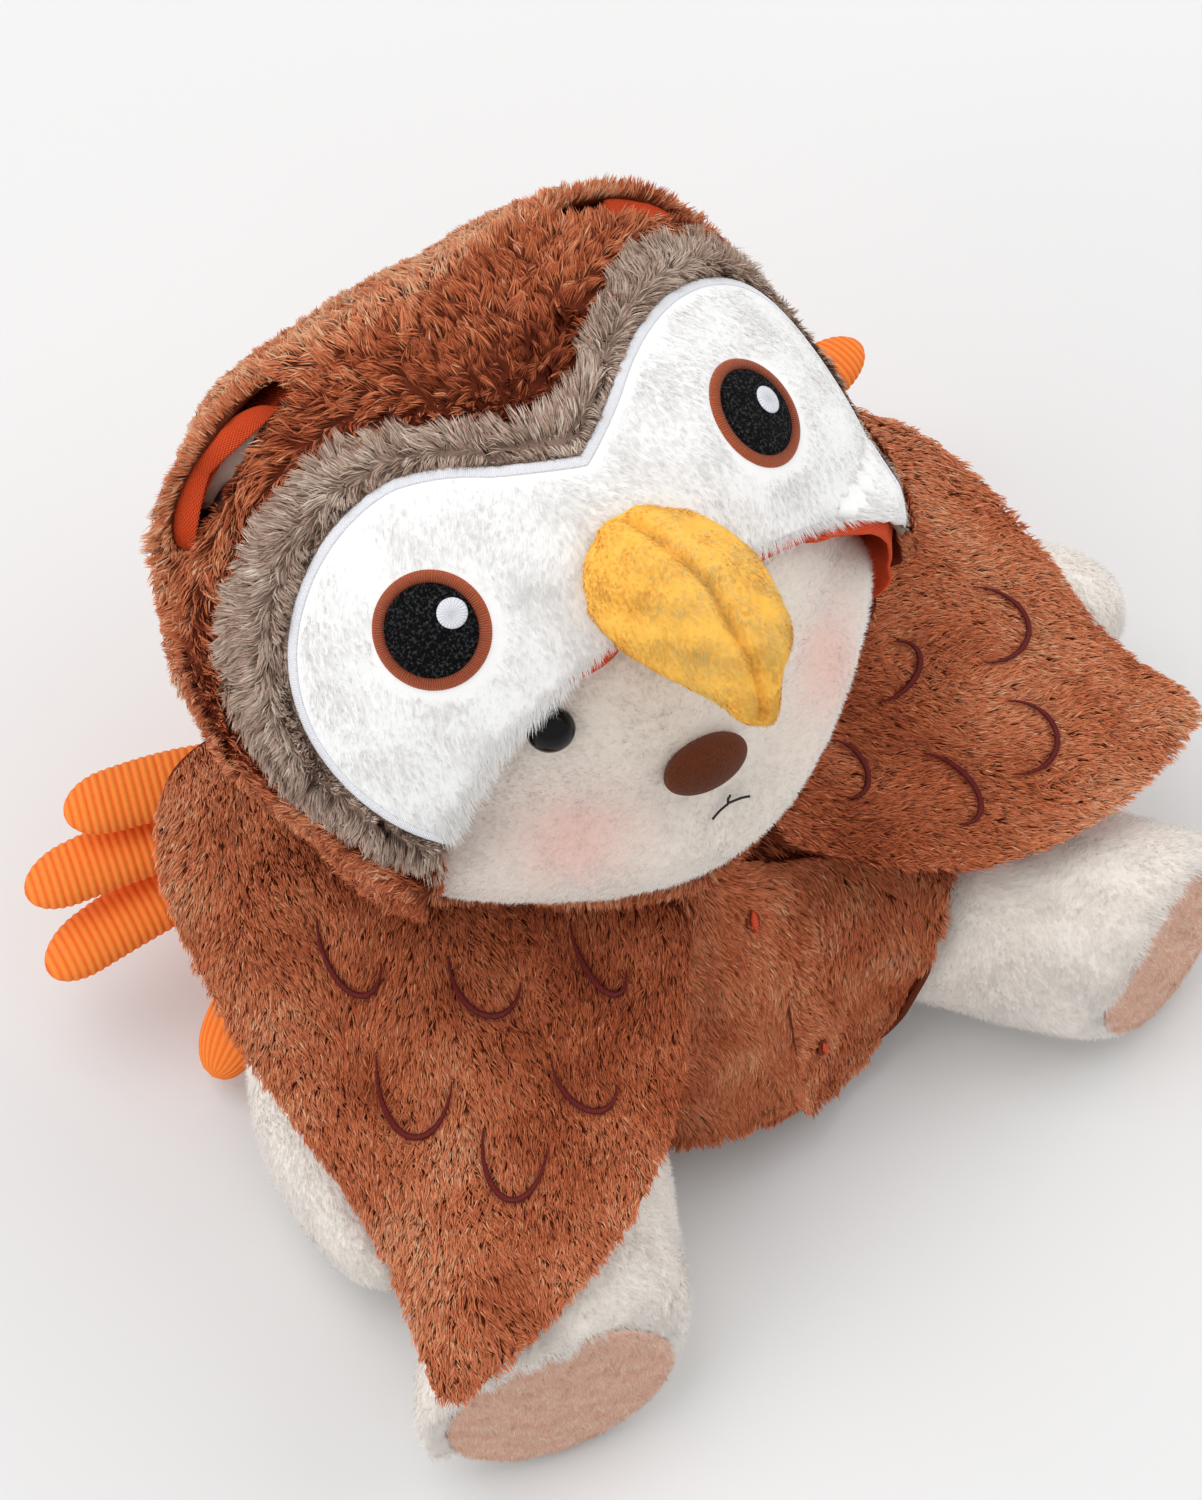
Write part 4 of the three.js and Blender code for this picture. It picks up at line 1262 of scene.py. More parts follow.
def makeLining():
    inside = hoodForm["lining"] - liningLook["drop"]
    lining = clothPatch("hood_lining_cloth", inside, liningField, liningTwill, shape=rimRoll)
    steep = smoothStep(rimRoll(atRest["hood_lining_cloth"](points(lining))), *liningLook["sinkFrom"])[:, None]
    setPoints(lining, points(lining) - pointNormals(lining) * liningLook["sink"] * mm * steep)
    finishSheet(lining, liningLook["wall"], "stretched", "head_cloth", "head", "orange_twill", "hood_lining")
    across, back, up = toHead(points(lining)).T
    addMap(lining, "weave", np.stack([np.arctan2(across, -back) * liningLook["round"], up * mm], axis=1))


# The slots' back edges roll out, and the lining shows there as a wavy lip
slotLook = dict(width=dict(right=1.8, left=2.6), high=dict(right=9, left=6.6),
                span=dict(right=(0, 1), left=(0.4, 0.88)), out=1.2, fall=5.4, fallPower=1.4, end=4,
                endPower=0.3, wave=4.4, waves=2, wall=0.9, grid=(60, 14), cloth=(0.06, 0.012))


def makeSlotLips():
    long, wide = hoodForm["slotHalf"]
    for side, sign in (("right", -1), ("left", 1)):
        aim, across, along = slotAxes(sign)
        backward = across * np.sign(across[1])
        reach = np.linalg.norm(headPoint(aim[None], hoodForm["plush"], True))

        def shape(run, deep):
            first, last = slotLook["span"][side]
            turn = math.pi * (1 - first - (last - first) * run)
            ends = np.sqrt(np.sin(turn) * np.sin(math.pi * run) ** slotLook["endPower"])
            wavy = slotLook["wave"] * np.abs(np.sin(turn * slotLook["waves"]))
            inward = slotLook["out"] - (slotLook["width"][side] + wavy) * deep * ends
            flat = along * (long * np.cos(turn))[:, None] + backward * (wide * np.sin(turn) + inward)[:, None]
            aims = unit(aim * reach + flat)
            high = slotLook["high"][side] - slotLook["fall"] * deep ** slotLook["fallPower"]
            offset = slotLook["end"] * (1 - ends) + high * ends
            places = toBear(headPoint(aims, 0, True) + aims * offset[:, None])
            return places, np.stack([run, deep], axis=1) * slotLook["cloth"]
        lip = gridPatch(f"{side}_slot_lip", *slotLook["grid"], shape, liningTwill, "weave")
        finishSheet(lip, slotLook["wall"], "folded", "head_cloth", "head", "orange_twill")


makeHood()
makeBand()
mask = makeMask()
spots = makeBirdEyes(mask)
growMask(mask, spots)
makeMaskEdge()
makeLining()
makeSlotLips()
print("hood ready")


# Bear's head, eyes, nose and mouth
faceLook = dict(isShort=True, inset=2.2, seed=71, hairs=90000, length=2.6, width=0.28, lean=66, leanStray=12,
                leanWave=6, wave=14, swirl=30, turn=0.7, stray=0.4, tuft=7, gather=0.3, ruffle=0.1, bow=0.1,
                tone=(0.3, 0.07, 20, 0.05, 8), plainest=(0.02, 0.44), pinkest=0.6, groundPink=0.6,
                droop=(0, 0, -0.35), whorl=(712, 768), cheeks=((575, 840), (830, 662)), blush=17,
                seenFrom=(-9, -6), bulge=11, bulgeFrom=(-3, 9), jaw=(0.5, 56), jawFrom=(0, -18))


def makeHead():
    def everywhere(places):
        return np.ones(len(places))

    def shape(places):  # the cheeks and the chin fill out
        across, rise = onPlane(places).T
        slope, drop = faceLook["jaw"]
        low = smoothStep(rise - slope * np.abs(across) + drop, *faceLook["jawFrom"])
        return faceLook["bulge"] * low * smoothStep(openingField(places), *faceLook["bulgeFrom"])
    head = clothPatch("head_cloth", -faceLook["inset"], everywhere, faceGround, isCloth=False, shape=shape)
    dressPadded(head, "head", "white_plush", "head", fill=0.9)
    surface = surfaceOf(head)
    cheeks = seenAlong(surface, faceLook["cheeks"])[0]
    whorl = np.array(seenOn(surface, faceLook["whorl"])[0])

    def share(places, normals):
        local = toHead(places)
        byOpening, bySlot = faceLook["seenFrom"]
        return ((openingField(local) > byOpening) | (slotField(local) > bySlot)).astype(float)

    def blush(places):
        away = (np.linalg.norm(places - cheek, axis=1) for cheek in cheeks)
        return sum(np.exp(-(far / (faceLook["blush"] * mm)) ** 2) for far in away)
    pink = head.data.attributes.new("blush", "FLOAT", "POINT")
    pink.data.foreach_set("value", blush(points(head)) * faceLook["groundPink"])

    def tone(roots, upright, chance):
        plain = np.clip(evenTone(*faceLook["tone"])(roots, upright, chance), *faceLook["plainest"])
        return plain + blush(roots) * (faceLook["pinkest"] - plain)

    def comb(roots, upright):
        return unit(unit(flatten(roots - whorl, upright)) + np.array(faceLook["droop"]))
    growPile("face_pile", head, bearPile, faceLook, "head", "white_plush", comb, tone, share)
    return head


domes = dict(
    right_eye=dict(side=-28.5, rise=27, size=(6.2, 6.2, 4.6), roll=0, material=eyeGloss, slot="black_gloss"),
    left_eye=dict(side=14.5, rise=27, size=(6.2, 6.2, 4.6), roll=0, material=eyeGloss, slot="black_gloss"),
    nose=dict(side=-2.6, rise=6.2, size=(12.4, 8.4, 6), roll=-14, material=noseFlock, slot="brown_flock"))


def makeDome(node, look):
    side, rise = math.radians(look["side"]), math.radians(look["rise"])
    aim = np.array([[math.sin(side) * math.cos(rise), -math.cos(side) * math.cos(rise), math.sin(rise)]])
    place = toBear(headPoint(aim, 0, False))[0]
    outward = Vector((aim @ headTurn.T)[0])
    across = Vector((0, 0, 1)).cross(outward).normalized()
    axes = Matrix((across, outward.cross(across), outward)).transposed().to_4x4()
    roll = Matrix.Rotation(math.radians(look["roll"]), 4, "Z")
    size = Matrix.Diagonal((*(part * mm for part in look["size"]), 1))
    mesh = bmesh.new()
    bmesh.ops.create_uvsphere(mesh, u_segments=48, v_segments=24, radius=1)
    bmesh.ops.transform(mesh, matrix=Matrix.Translation(place) @ axes @ roll @ size, verts=mesh.verts)
    dress(fromMesh(f"{node}_dome", mesh, look["material"]), "head", look["slot"], node)


mouthLook = dict(stem=((725.6, 792), (725, 800.3)), right=((725, 800.3), (738, 795), (747.3, 793)),
                 left=((725, 800.3), (716, 808), (707.7, 817.6)), parts=5, width=0.7, rise=0.4, lift=1.7)


def makeMouth(head):
    surface = surfaceOf(head)
    for part in ("stem", "right", "left"):
        spots, normals = seenAlong(surface, spacedAlong(mouthLook[part], mouthLook["parts"]))
        stitchedStrip(f"mouth_{part}", spots, normals, mouthLook, mouthThread, "head", "black_gloss")


earLook = dict(voxel=2.5, smooth=6, inset=0.4)


head = makeHead()
for node, look in domes.items():
    makeDome(node, look)
    repaint(nodes[f"{node}_washer"].data, washerPlastic)
makeMouth(head)
for side in ("right", "left"):
    ear = stuffed(f"{side}_ear_cloth", f"{side}_ear", bearGround, earLook)
    dressPadded(ear, "head", "white_plush", f"{side}_ear", fill=0.5)
print("face ready")


# Beak: a stuffed cone with a seam along its ridge and a cleft at its tip
beakLook = dict(isShort=True, voxel=1.8, smooth=30, inset=0.6, pressure=2, cap=1.5, seed=81, hairs=60000,
                length=2.0, width=0.26, lean=70, leanStray=10, leanWave=12, wave=10, swirl=18, turn=0.7,
                stray=0.3, tuft=10, gather=0.5, ruffle=0.15, clump=0.06, bow=0.1,
                tone=(0.36, 0.1, 20, 0.06, 4), comb=(0, -1, -0.6),
                seam=((627, 517), (655, 534), (686, 560), (710, 583), (733, 627), (753, 661), (763, 695),
                      (761, 718)), depth=2.4, spread=1.5, puff=0.8, puffAt=5, puffSpread=3, full=(6, 3.4),
                fullFrom=((-8, 16), (0, -18)), blunt=(2, 17), topLight=0.36, flankShade=0.22,
                flankFrom=(0, -0.02), grooveShade=0.3, grooveSpread=1.6, seamParts=15, bare=0.5)


def makeBeak():
    beak = stuffed("beak_cloth", "beak", beakGround, beakLook)
    rightward = np.array(eyeTurn @ Vector((1, 0, 0)))
    places = points(beak)
    low, high = places.min(axis=0), places.max(axis=0)
    across = (places - (low + high) / 2) @ rightward / mm
    blunt = smoothStep((places[:, 1] - low[1]) / mm, *beakLook["blunt"])
    (rightFull, leftFull), (rightFrom, leftFrom) = beakLook["full"], beakLook["fullFrom"]
    full = rightFull * smoothStep(across, *rightFrom) * blunt - leftFull * smoothStep(across, *leftFrom)
    setPoints(beak, places + rightward * full[:, None] * mm)
    line = seenAlong(surfaceOf(beak), beakLook["seam"])[0]
    places = points(beak)
    nearest = np.full(len(places), 1.0)
    for first, second in zip(line, line[1:]):
        run = second - first
        share = np.clip(((places - first) @ run) / (run @ run), 0, 1)
        nearest = np.minimum(nearest, np.linalg.norm(places - first - share[:, None] * run, axis=1))
    dip = np.exp(-(nearest / mm / beakLook["spread"]) ** 2) * beakLook["depth"]
    puff = np.exp(-((nearest / mm - beakLook["puffAt"]) / beakLook["puffSpread"]) ** 2) * beakLook["puff"]
    setPoints(beak, places - pointNormals(beak) * (dip - puff)[:, None] * mm)
    toSeam = nearTree(spacedAlong(line, beakLook["seamParts"]))
    dressPadded(beak, "head", "beak_plush", "beak", fill=0.9)
    low, high = (np.array(corner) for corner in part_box("beak"))

    # Lighter towards the top, painted light; darker on one flank and along the seam, painted shade; and tone
    # that differs at random
    def tone(roots, upright, chance):
        top = (roots[:, 2] - low[2]) / (high[2] - low[2])
        flank = smoothStep((roots - (low + high) / 2) @ rightward, *beakLook["flankFrom"])
        groove = np.exp(-(toSeam(roots) / (beakLook["grooveSpread"] * mm)) ** 2)
        plain = evenTone(*beakLook["tone"])(roots, upright, chance)
        return (plain + beakLook["topLight"] * top - beakLook["flankShade"] * flank
                - beakLook["grooveShade"] * groove)

    def keep(roots):
        return toSeam(roots) > beakLook["bare"] * mm
    growPile("beak_pile_hair", beak, beakPile, beakLook, "head", "beak_plush", tone=tone, keep=keep)


makeBeak()
print("beak ready")


# Torso, limbs and soles
plushLook = dict(voxel=4, smooth=16, inset=2.2, pressure=4, cap=2.0)
torsoLook = dict(voxel=4, smooth=16, inset=1.0)
limbPile = dict(isShort=True, seed=101, sideSeed=7, hairs=dict(leg=100000, arm=60000), length=3.0,
                width=0.3, lean=64, leanStray=14, leanWave=10, wave=12, swirl=26, turn=0.7, stray=0.4,
                tuft=7, gather=0.28, ruffle=0.1, bow=0.1, tone=(0.38, 0.06, 24, 0.04, 6),
                comb=(0, -0.5, -0.6), rimLonger=0.9, rimSpread=5)
soleLook = dict(isShort=True, voxel=1.3, smooth=6, inset=0, seed=131, hairs=22000, length=2.3, width=0.3,
                lean=62, leanStray=8, leanWave=6, wave=14, swirl=20, turn=0.7, stray=0.3, tuft=8,
                gather=0.3, ruffle=0.1, bow=0.15, tone=(0.52, 0.22, 6, 0.22, 12), comb=(0, -0.1, -1),
                dome=4.5, rise=0.8)
footLook = dict(start=-42, end=-8, bulge=5.5, rim=31, rimSpread=4.5, wideFrom=(0, 30), aimFrom=(0, 0.8),
                right=dict(out=1.5, turn=0.4, wide=5.5, aim=(0.8, 0.6)),
                left=dict(out=9, turn=-0.14, wide=0, aim=(0, 1)))


def makeTorso():
    torso = stuffed("torso_cloth", "torso", bearGround, torsoLook)
    dressPadded(torso, "torso", "white_plush", "torso", fill=0.8)


# The middle of a sole and the way it faces
def soleAxis(places):
    middle = places.mean(axis=0)
    thin = np.linalg.eigh(np.cov((places - middle).T))[1][:, 0]
    return middle, thin * (1 if thin[1] < 0 else -1)


# A pad follows the round end of its leg: its rim falls back
def domePad(pad):
    places = points(pad)
    middle, outward = soleAxis(places)
    height = (places - middle) @ outward
    flat = np.linalg.norm(places - middle - height[:, None] * outward, axis=1)
    sunk = (soleLook["dome"] * (flat / flat.max()) ** 2 - soleLook["rise"]) * mm
    setPoints(pad, places - outward * sunk[:, None])


# Each foot's end is turned and drawn out as it lies in the photograph,
# and its plush swells over the sole's edge
def footShape(side, places, isSole):
    middle, outward = soleAxis(points(nodes[f"{side}_foot_pad"]))
    sideways = unit(np.cross(outward, (0, 0, 1)))
    upward = np.cross(sideways, outward)
    across, rise, ahead = ((places - middle) @ axis / mm for axis in (sideways, upward, outward))
    near = smoothStep(ahead, footLook["start"], footLook["end"])
    look = footLook[side]
    out = (look["out"] + look["turn"] * across) * near
    wide = np.zeros(len(places))
    if not isSole:
        wide = look["wide"] * smoothStep(across, *footLook["wideFrom"]) * near
        away = np.hypot(across, rise)
        turned = (across * look["aim"][0] + rise * look["aim"][1]) / np.maximum(away, 1)
        rim = np.exp(-((away - footLook["rim"]) / footLook["rimSpread"]) ** 2)
        out = out + footLook["bulge"] * rim * smoothStep(turned, *footLook["aimFrom"]) * near
    return places + (outward * out[:, None] + sideways * wide[:, None]) * mm


def makeLimbs():
    for order, side in enumerate(("right", "left")):
        toRim = nearTree(footShape(side, points(nodes[f"{side}_foot_pad"]), True))

        def sized(roots):
            return 1 + limbPile["rimLonger"] * np.exp(-(toRim(roots) / (limbPile["rimSpread"] * mm)) ** 2)
        for kind, hairs in limbPile["hairs"].items():
            name = f"{side}_{kind}"
            limb = stuffed(f"{name}_cloth", name, bearGround, plushLook)
            if kind == "leg":
                setPoints(limb, footShape(side, points(limb), False))
            dressPadded(limb, name, "white_plush", name, fill=0.8)
            look = dict(limbPile, hairs=hairs,
                        seed=limbPile["seed"] + limbPile["sideSeed"] * order + len(kind))
            growPile(f"{name}_pile", limb, bearPile, look, name, "white_plush", sized=sized)
        pad = stuffed(f"{side}_sole", f"{side}_foot_pad", soleGround, soleLook)
        domePad(pad)
        setPoints(pad, footShape(side, points(pad), True))
        dressPadded(pad, f"{side}_leg", "sole_plush", f"{side}_foot_pad", fill=0.5)
        look = dict(soleLook, seed=soleLook["seed"] + order)
        growPile(f"{side}_sole_pile", pad, solePile, look, f"{side}_leg", "sole_plush")


makeTorso()
makeLimbs()
print("limbs ready")


# Tunic and its front closure
tunicLook = dict(voxel=2.8, smooth=3, inset=0.8, seed=151, hairs=20000, length=5, width=0.38, lean=68,
                 leanStray=8, leanWave=10, wave=20, swirl=32, turn=0.6, stray=0.2, tuft=15, gather=0.68,
                 ruffle=0.3, bow=0.35, tone=(0.52, 0.13, 26, 0.1, 14), comb=(0, -0.2, -1), outward=0.1)
placketLook = dict(tunicLook, voxel=1.4, seed=171, hairs=6000, tone=(0.5, 0.13, 26, 0.1, 15))


# Pile grows on the outside only
def outerShare(places, normals):
    return ((unit(places * (1, 1, 0)) * normals).sum(axis=1) > tunicLook["outward"]).astype(float)


def makeTunic():
    for node, look in (("tunic", tunicLook), ("placket", placketLook)):
        cloth = stuffed(f"{node}_cloth", node, brownShadedGround, look)
        dressPadded(cloth, "torso", "brown_plush", node, fill=0.2)
        growPile(f"{node}_pile", cloth, brownPile, look, "torso", "brown_plush", share=outerShare)
    for tape in ("loop_tape", "hook_tape"):
        repaint(nodes[tape].data, tapeNylonAndShade)


# Skirt panels: rows of places seen in the photograph, laid a little before the tunic, the placket and the leg
skirtLook = dict(tunicLook, gap=4, least=2, floor=5, parts=44, softer=60, pleat=2.4, pleats=15,
                 pleatFrom=0.2, smooth=6, wall=2, cloth=0.1, hairs=24000, seed=181,
                 tone=(0.54, 0.14, 22, 0.12), comb=(0.1, -0.3, -1),
                 slits=(((746, 910), (750, 931)), ((814, 1040), (818, 1051))), slitParts=8,
                 bends=dict(front=("right_leg", (750, 1000), (655, 1040)),
                            left=("left_leg", (735, 880), (890, 1020))))
# shade: a dark strip under each slit, painted shade
slitLook = dict(shade=dict(width=5, rise=0.5, lift=2.2, taper=0.3, thread=tapeNylonAndShade),
                slit=dict(width=2.4, rise=0.5, lift=3.0, taper=0.3, thread=slitThread))
skirts = dict(
    front=(((640, 880), (690, 880), (735, 880), (790, 930)),
           ((640, 985), (690, 985), (735, 985), (790, 1010)),
           ((640, 1060), (690, 1060), (740, 1060), (800, 1075)),
           ((645, 1146), (695, 1143), (742, 1129), (790, 1100))),
    left=(((700, 866), (765, 860), (840, 850), (905, 842), (955, 850)),
          ((716, 930), (790, 930), (852, 925), (912, 908), (952, 885)),
          ((742, 1005), (806, 1010), (868, 1005), (910, 970), (944, 922)),
          ((776, 1098), (806, 1113), (848, 1074), (896, 1020), (930, 962))))


# Rows of a few values, drawn out to as many as are wanted
def drawnOut(rows, count):
    rows = np.array(rows, float)
    return np.array([np.interp(np.linspace(0, 1, count), np.linspace(0, 1, len(row)), row) for row in rows])


def makeSkirt(name, rows, seed):
    behind = [BVHTree.FromBMesh(nodeCopy(node)) for node in ("tunic", "placket", "left_leg")]
    parts = skirtLook["parts"]
    corners = np.array(rows, float)
    across, down = (drawnOut(drawnOut(corners[:, :, axis], parts + 1).T, parts + 1).T for axis in range(2))

    def shape(wide, deep):
        aims = np.array([[sightLine(pixel) for pixel in zip(*line)] for line in zip(across, down)])
        reach = (skirtLook["floor"] * mm - eyePoint.z) / aims[:, :, 2]
        for tree in behind:
            for spot in np.ndindex(reach.shape):
                hit = tree.ray_cast(eyePoint, Vector(aims[spot]))[3]
                if hit is not None:
                    reach[spot] = min(reach[spot], hit)
        nearest = reach - skirtLook["least"] * mm
        depth = reach - skirtLook["gap"] * mm
        for turn in range(skirtLook["softer"]):
            soft = np.pad(depth, 1, mode="edge")
            soft = (soft[:-2, 1:-1] + soft[2:, 1:-1] + soft[1:-1, :-2] + soft[1:-1, 2:]) / 4
            depth = np.minimum(soft, nearest)
        fold = np.sin(np.linspace(0, skirtLook["pleats"], parts + 1) + seed)[None]
        fold = fold * np.linspace(skirtLook["pleatFrom"], 1, parts + 1)[:, None]
        depth = depth - skirtLook["pleat"] * (fold * 0.5 + 0.5) * mm
        made = np.array(eyePoint) + aims * depth[:, :, None]
        row, column = (np.round(share * parts).astype(int) for share in (deep, wide))
        return made[row, column], np.stack([wide, deep], axis=1) * skirtLook["cloth"]
    skirt = gridPatch(f"tunic_skirt_{name}", parts, parts, shape, brownShadedGround, "weave")
    soften(skirt, skirtLook["smooth"])
    faceTowards(skirt, np.array(eyePoint) - points(skirt).mean(axis=0))
    leg, start, end = skirtLook["bends"][name]
    surface = surfaceOf(skirt)
    bend = ("torso", leg, tuple(seenOn(surface, start)[0]), tuple(seenOn(surface, end)[0]))
    look = dict(skirtLook, seed=seed, tone=(*skirtLook["tone"], seed))
    growPile(f"tunic_skirt_{name}_pile", skirt, brownPile, look, bend, "brown_plush")
    return skirt, surface, bend


def makeSlits(surface, bend):
    for index, ends in enumerate(skirtLook["slits"]):
        spots, normals = seenAlong(surface, spacedAlong(ends, skirtLook["slitParts"]))
        for part, look in slitLook.items():
            stitchedStrip(f"tunic_{part}_{index + 1}", spots, normals, look, look["thread"],
                          bend, "orange_twill")


def makeSkirts():
    for order, (name, rows) in enumerate(skirts.items()):
        skirt, surface, bend = makeSkirt(name, rows, skirtLook["seed"] + order)
        if name == "left":
            makeSlits(surface, bend)
        finishSheet(skirt, skirtLook["wall"], "draped", "tunic_cloth", bend, "brown_plush")


makeTunic()
makeSkirts()
print("tunic ready")


# Wings: cloth drawn from the solid's upper face, with the folds that the photograph shows
wingLook = dict(inset=1.6, wall=1.4, pieces=2, seed=191, hairs=36000, length=4.6, width=0.34, lean=70,
                leanStray=7, leanWave=9, wave=22, swirl=40, turn=0.5, stray=0.2, tuft=13, gather=0.62,
                ruffle=0.28, bow=0.35, tone=(0.44, 0.15, 30, 0.12), toneSeed=16, facing=0.35,
                shadeToLightFrom=(0.05, 0.13), shadeToLightMiddle=0.45, right=dict(comb=(-0.55, -1, -0.5), far=0.24),
                left=dict(comb=(0.9, -1, -0.5), far=0.34))
wingLiningLook = dict(tuck=7, sink=3, wall=0.6)
scallops = dict(
    right=[((318, 919), (350, 991), (382, 963)), ((449, 956), (482, 1015), (520, 983)),
           ((570, 920), (601, 988), (626, 969)), ((378, 1055), (409, 1137), (453, 1082)),
           ((551, 1062), (586, 1110), (616, 1085)), ((484, 1128), (506, 1200), (546, 1152))],
    left=[((972, 589), (1027, 627), (983, 664)), ((1006, 702), (1056, 737), (1017, 775)),
          ((892, 643), (919, 668), (878, 703)), ((922, 754), (976, 791), (958, 825)),
          ((831, 741), (866, 772), (846, 799))])
scallopLook = dict(width=1.7, rise=0.45, lift=1.2, taper=0.3, parts=40, clear=1.2, dent=1.6, dentSpread=3.2)
wingFolds = dict(right=((249, 822), (226, 880), (199, 939)), left=((1136, 690), (1130, 720), (1120, 752)))
foldLook = dict(depth=3, spread=7, parts=11, ripple=1.6, rippleSize=0.05, rippleUp=0.5, seed=60)


def oneFace(node, isUpper):
    mesh = nodeCopy(node)
    sign = 1 if isUpper else -1
    wrong = [face for face in mesh.faces if face.normal.z * sign < wingLook["facing"]]
    bmesh.ops.delete(mesh, geom=wrong, context="FACES")
    bmesh.ops.join_triangles(mesh, faces=mesh.faces, angle_face_threshold=3, angle_shape_threshold=3)
    return mesh


def makeWing(side, order):
    wing = fromMesh(f"{side}_wing_cloth", oneFace(f"{side}_wing", True), brownShadedGround)
    refine(wing, 3)
    places = points(wing)
    valley = spacedAlong(wingFolds[side], foldLook["parts"])
    away = nearTree(seenAlong(surfaceOf(wing), valley)[0])
    fold = np.exp(-(away(places) / (foldLook["spread"] * mm)) ** 2) * foldLook["depth"]
    ripple = wander(places, foldLook["rippleSize"], foldLook["seed"] + order) + foldLook["rippleUp"]
    raised = ripple * foldLook["ripple"] - fold - wingLook["inset"]
    setPoints(wing, places + pointNormals(wing) * raised[:, None] * mm)
    away = nearTree(makeScallops(wing, side))
    places = points(wing)
    dent = np.exp(-(away(places) / (scallopLook["dentSpread"] * mm)) ** 2) * scallopLook["dent"]
    setPoints(wing, places - pointNormals(wing) * dent[:, None] * mm)
    body = f"{side}_wing"
    even = evenTone(*wingLook["tone"], wingLook["toneSeed"] + order)

    def keep(roots):
        return away(roots) > scallopLook["clear"] * mm

    # Darker near the body, under the hood, and lighter towards the wing's outer end: painted shade and
    # painted light
    def tone(roots, upright, chance):
        far = smoothStep(np.linalg.norm(roots[:, :2], axis=1), *wingLook["shadeToLightFrom"]) - wingLook["shadeToLightMiddle"]
        return even(roots, upright, chance) + wingLook[side]["far"] * far
    for part in range(wingLook["pieces"]):
        look = dict(wingLook, seed=wingLook["seed"] + order + seedStep * part, comb=wingLook[side]["comb"])
        growPile(f"{body}_pile_{part + 1}", wing, brownPile, look, body, "brown_plush", tone=tone, keep=keep)
    finishSheet(wing, wingLook["wall"], "draped", f"{side}_arm_cloth", body, "brown_plush", body)


def makeScallops(wing, side):
    every = []
    surface = surfaceOf(wing)
    turn = np.linspace(math.pi, 0, scallopLook["parts"])[:, None]
    for index, corners in enumerate(scallops[side]):
        first, middle, last = np.array(corners, float)
        centre = (first + last) / 2
        pixels = centre + (last - first) / 2 * np.cos(turn) + (middle - centre) * np.sin(turn)
        spots, normals = seenAlong(surface, pixels)
        stitchedStrip(f"{side}_wing_scallop_{index + 1}", spots, normals, scallopLook, scallopSatin,
                      f"{side}_wing", "brown_plush")
        every.extend(spots)
    return every


def makeWingLining(side):
    mesh = oneFace(f"{side}_wing_lining", False)
    rim = [vert for vert in mesh.verts if vert.is_boundary]
    middle = sum((vert.co for vert in rim), Vector()) / len(rim)
    for vert in rim:
        vert.co += (middle - vert.co).normalized() * wingLiningLook["tuck"] * mm
    for vert in mesh.verts:
        vert.co.z -= wingLiningLook["sink"] * mm
    lining = fromMesh(f"{side}_wing_lining_cloth", mesh, liningTwill)
    refine(lining, 2)
    addMap(lining, "weave", points(lining)[:, :2])
    finishSheet(lining, wingLiningLook["wall"], "draped", f"{side}_arm_cloth", f"{side}_wing", "orange_twill",
                f"{side}_wing_lining")


for order, side in enumerate(("right", "left")):
    makeWing(side, order)
    makeWingLining(side)
print("wings ready")


# Tail: a stuffed pad and corduroy fingers with their ribs modelled
tailLook = dict(voxel=3.5, smooth=8, inset=0.6, pressure=3, cap=1.5)
featherLook = dict(wide=10, deep=7, least=0.05, bend=10, start=0.12, taper=(0.8, 0.9), close=0.84,
                   closePower=2.4, rib=2.4, height=0.45, waleMiddle=0.6, ribs=22, sides=(32, 120), step=0.5,
                   alongSteps=60, weld=0.0001,
                   roots=((38, 70, 62), (48, 70, 54), (50, 70, 44), (46, 70, 32)),
                   right=((-117, 106, 80), (-136, 103, 60), (-142, 89, 40), (-121, 43, 13)),
                   left=((117, 106, 80), (166, 85, 66), (142, 89, 40), (121, 43, 13)))


# The lowest finger has its ribs along it, the others around them
def makeFeather(name, root, tip, isAlong):
    run = tip - root
    size = np.linalg.norm(run)
    flat = unit(np.array([run[1], -run[0], 0]))
    upward = np.array([0, 0, 1.0])
    steps = featherLook["alongSteps"] if isAlong else int(size / featherLook["step"])
    start, (least, most), shut = featherLook["start"], featherLook["taper"], featherLook["close"]

    def shape(along, around):
        share, turn = start + (1 - start) * along, around * fullTurn
        taper = least + (1 - least) * np.sin(math.pi * np.minimum(1, share * most))
        past = np.maximum(0, (share - shut) / (1 - shut)) ** featherLook["closePower"]
        close = np.sqrt(np.maximum(0, 1 - past))
        phase = turn * featherLook["ribs"] / 2 if isAlong else math.pi * share * size / featherLook["rib"]
        wale = np.abs(np.sin(phase))
        lift = featherLook["height"] * (wale - featherLook["waleMiddle"])
        wide, deep = (np.maximum(featherLook["least"], (featherLook[part] * taper + lift) * close)
                      for part in ("wide", "deep"))
        rise = featherLook["bend"] * np.sin(math.pi * share) + np.sin(turn) * deep
        places = root + run * share[:, None] + flat * (np.cos(turn) * wide)[:, None] + upward * rise[:, None]
        return places * mm, np.stack([along, wale], axis=1)
    feather = gridPatch(f"{name}_cord", steps, featherLook["sides"][isAlong], shape, tailCord, "rib",
                        weld=featherLook["weld"], isTube=True)
    dressPadded(feather, "torso", "orange_cord", name, fill=0.7)


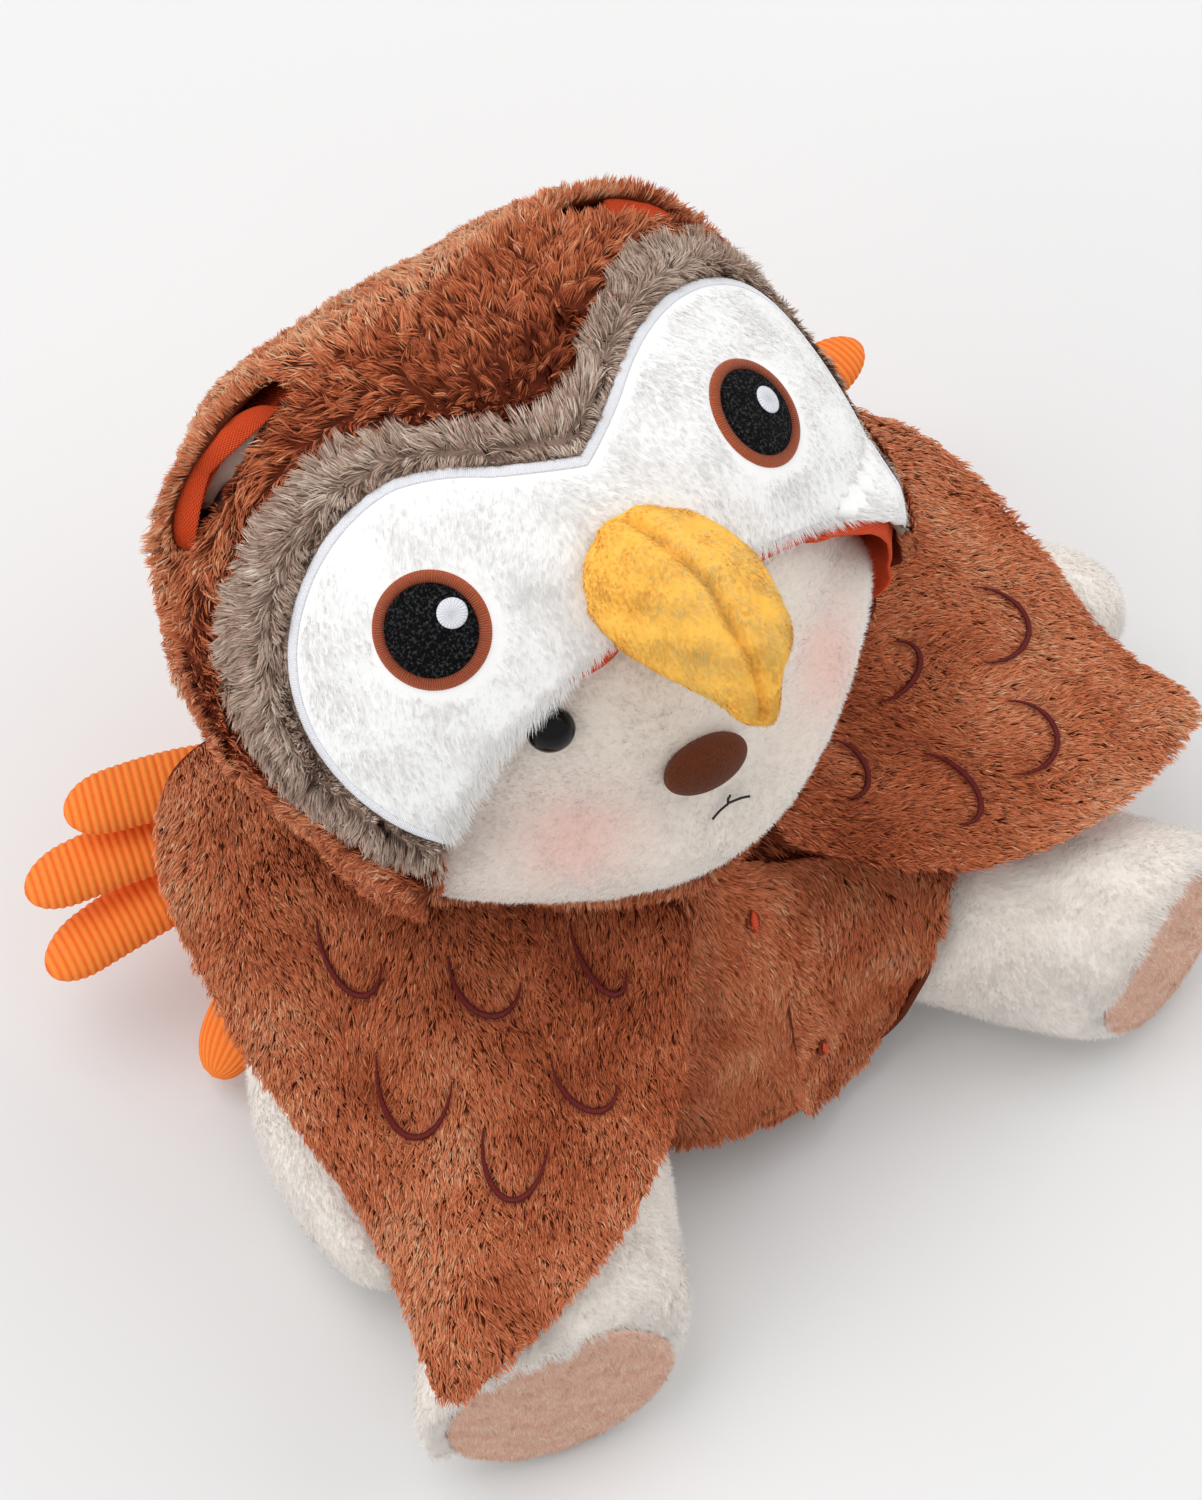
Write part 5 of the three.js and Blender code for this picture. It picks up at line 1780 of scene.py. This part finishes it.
def makeTail():
    pad = stuffed("tail_pad_cord", "tail_pad", tailCord, tailLook)
    # The pad's ribs are only in its map: its grooves are painted shade
    wale = np.abs(np.sin(points(pad)[:, 0] / (featherLook["rib"] * mm) * math.pi))
    addMap(pad, "rib", np.stack([np.zeros(len(wale)), wale], axis=1))
    dressPadded(pad, "torso", "orange_cord", "tail_pad", fill=0.6)
    for side, sign in (("right", -1), ("left", 1)):
        for index, (root, tip) in enumerate(zip(featherLook["roots"], featherLook[side])):
            isLowest = index == len(featherLook["roots"]) - 1
            makeFeather(f"{side}_feather_{index + 1}", np.array(root) * (sign, 1, 1), np.array(tip), isLowest)


makeTail()
print("tail ready")


# Floor and soft studio light
stageLook = dict(floor=(230, 230, 230), far=(242, 242, 242), size=6, sky=0.62, target=(0, 0, 0.1))
lamps = dict(key=dict(power=18.0, place=(-0.45, 0.7, 2.3), size=1.6),
             fill=dict(power=9.0, place=(1.3, -0.3, 1.3), size=1.6),
             side=dict(power=7.0, place=(-1.5, 0.4, 0.9), size=1.4))


def makeStage():
    mesh = bmesh.new()
    bmesh.ops.create_grid(mesh, x_segments=1, y_segments=1, size=stageLook["size"])

    def sockets(shade):
        # broad patches of darker and lighter grey on the floor: painted shade and light
        mottle = shade.noise(objectPlace(shade), scale=3, detail=1)
        near = tint(*stageLook["floor"])
        return {"Base Color": mottle.mix(near, tint(*stageLook["far"])),
                "Roughness": 0.9, "Specular IOR Level": 0.1}
    floor = fromMesh("floor", mesh, newMaterial("floor_paper", sockets))
    world = bpy.data.worlds.new("studio")
    world.use_nodes = True
    sky = world.node_tree.nodes["Background"]
    sky.inputs["Color"].default_value = (1, 1, 1, 1)
    sky.inputs["Strength"].default_value = stageLook["sky"]
    scene.world = world
    for name, look in lamps.items():
        lamp = bpy.data.lights.new(name, "AREA")
        lamp.energy = look["power"]
        lamp.size = look["size"]
        light = bpy.data.objects.new(name, lamp)
        light.location = look["place"]
        light.rotation_euler = ((Vector(stageLook["target"]) - light.location)
                                .to_track_quat("-Z", "Y").to_euler())
        scene.collection.objects.link(light)


makeStage()
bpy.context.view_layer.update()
faceCount = sum(len(piece.data.loops) - 2 * len(piece.data.polygons) for piece in scene.objects
                if piece.type == "MESH" and not piece.hide_render)
print("scene ready:", faceCount, "triangles")
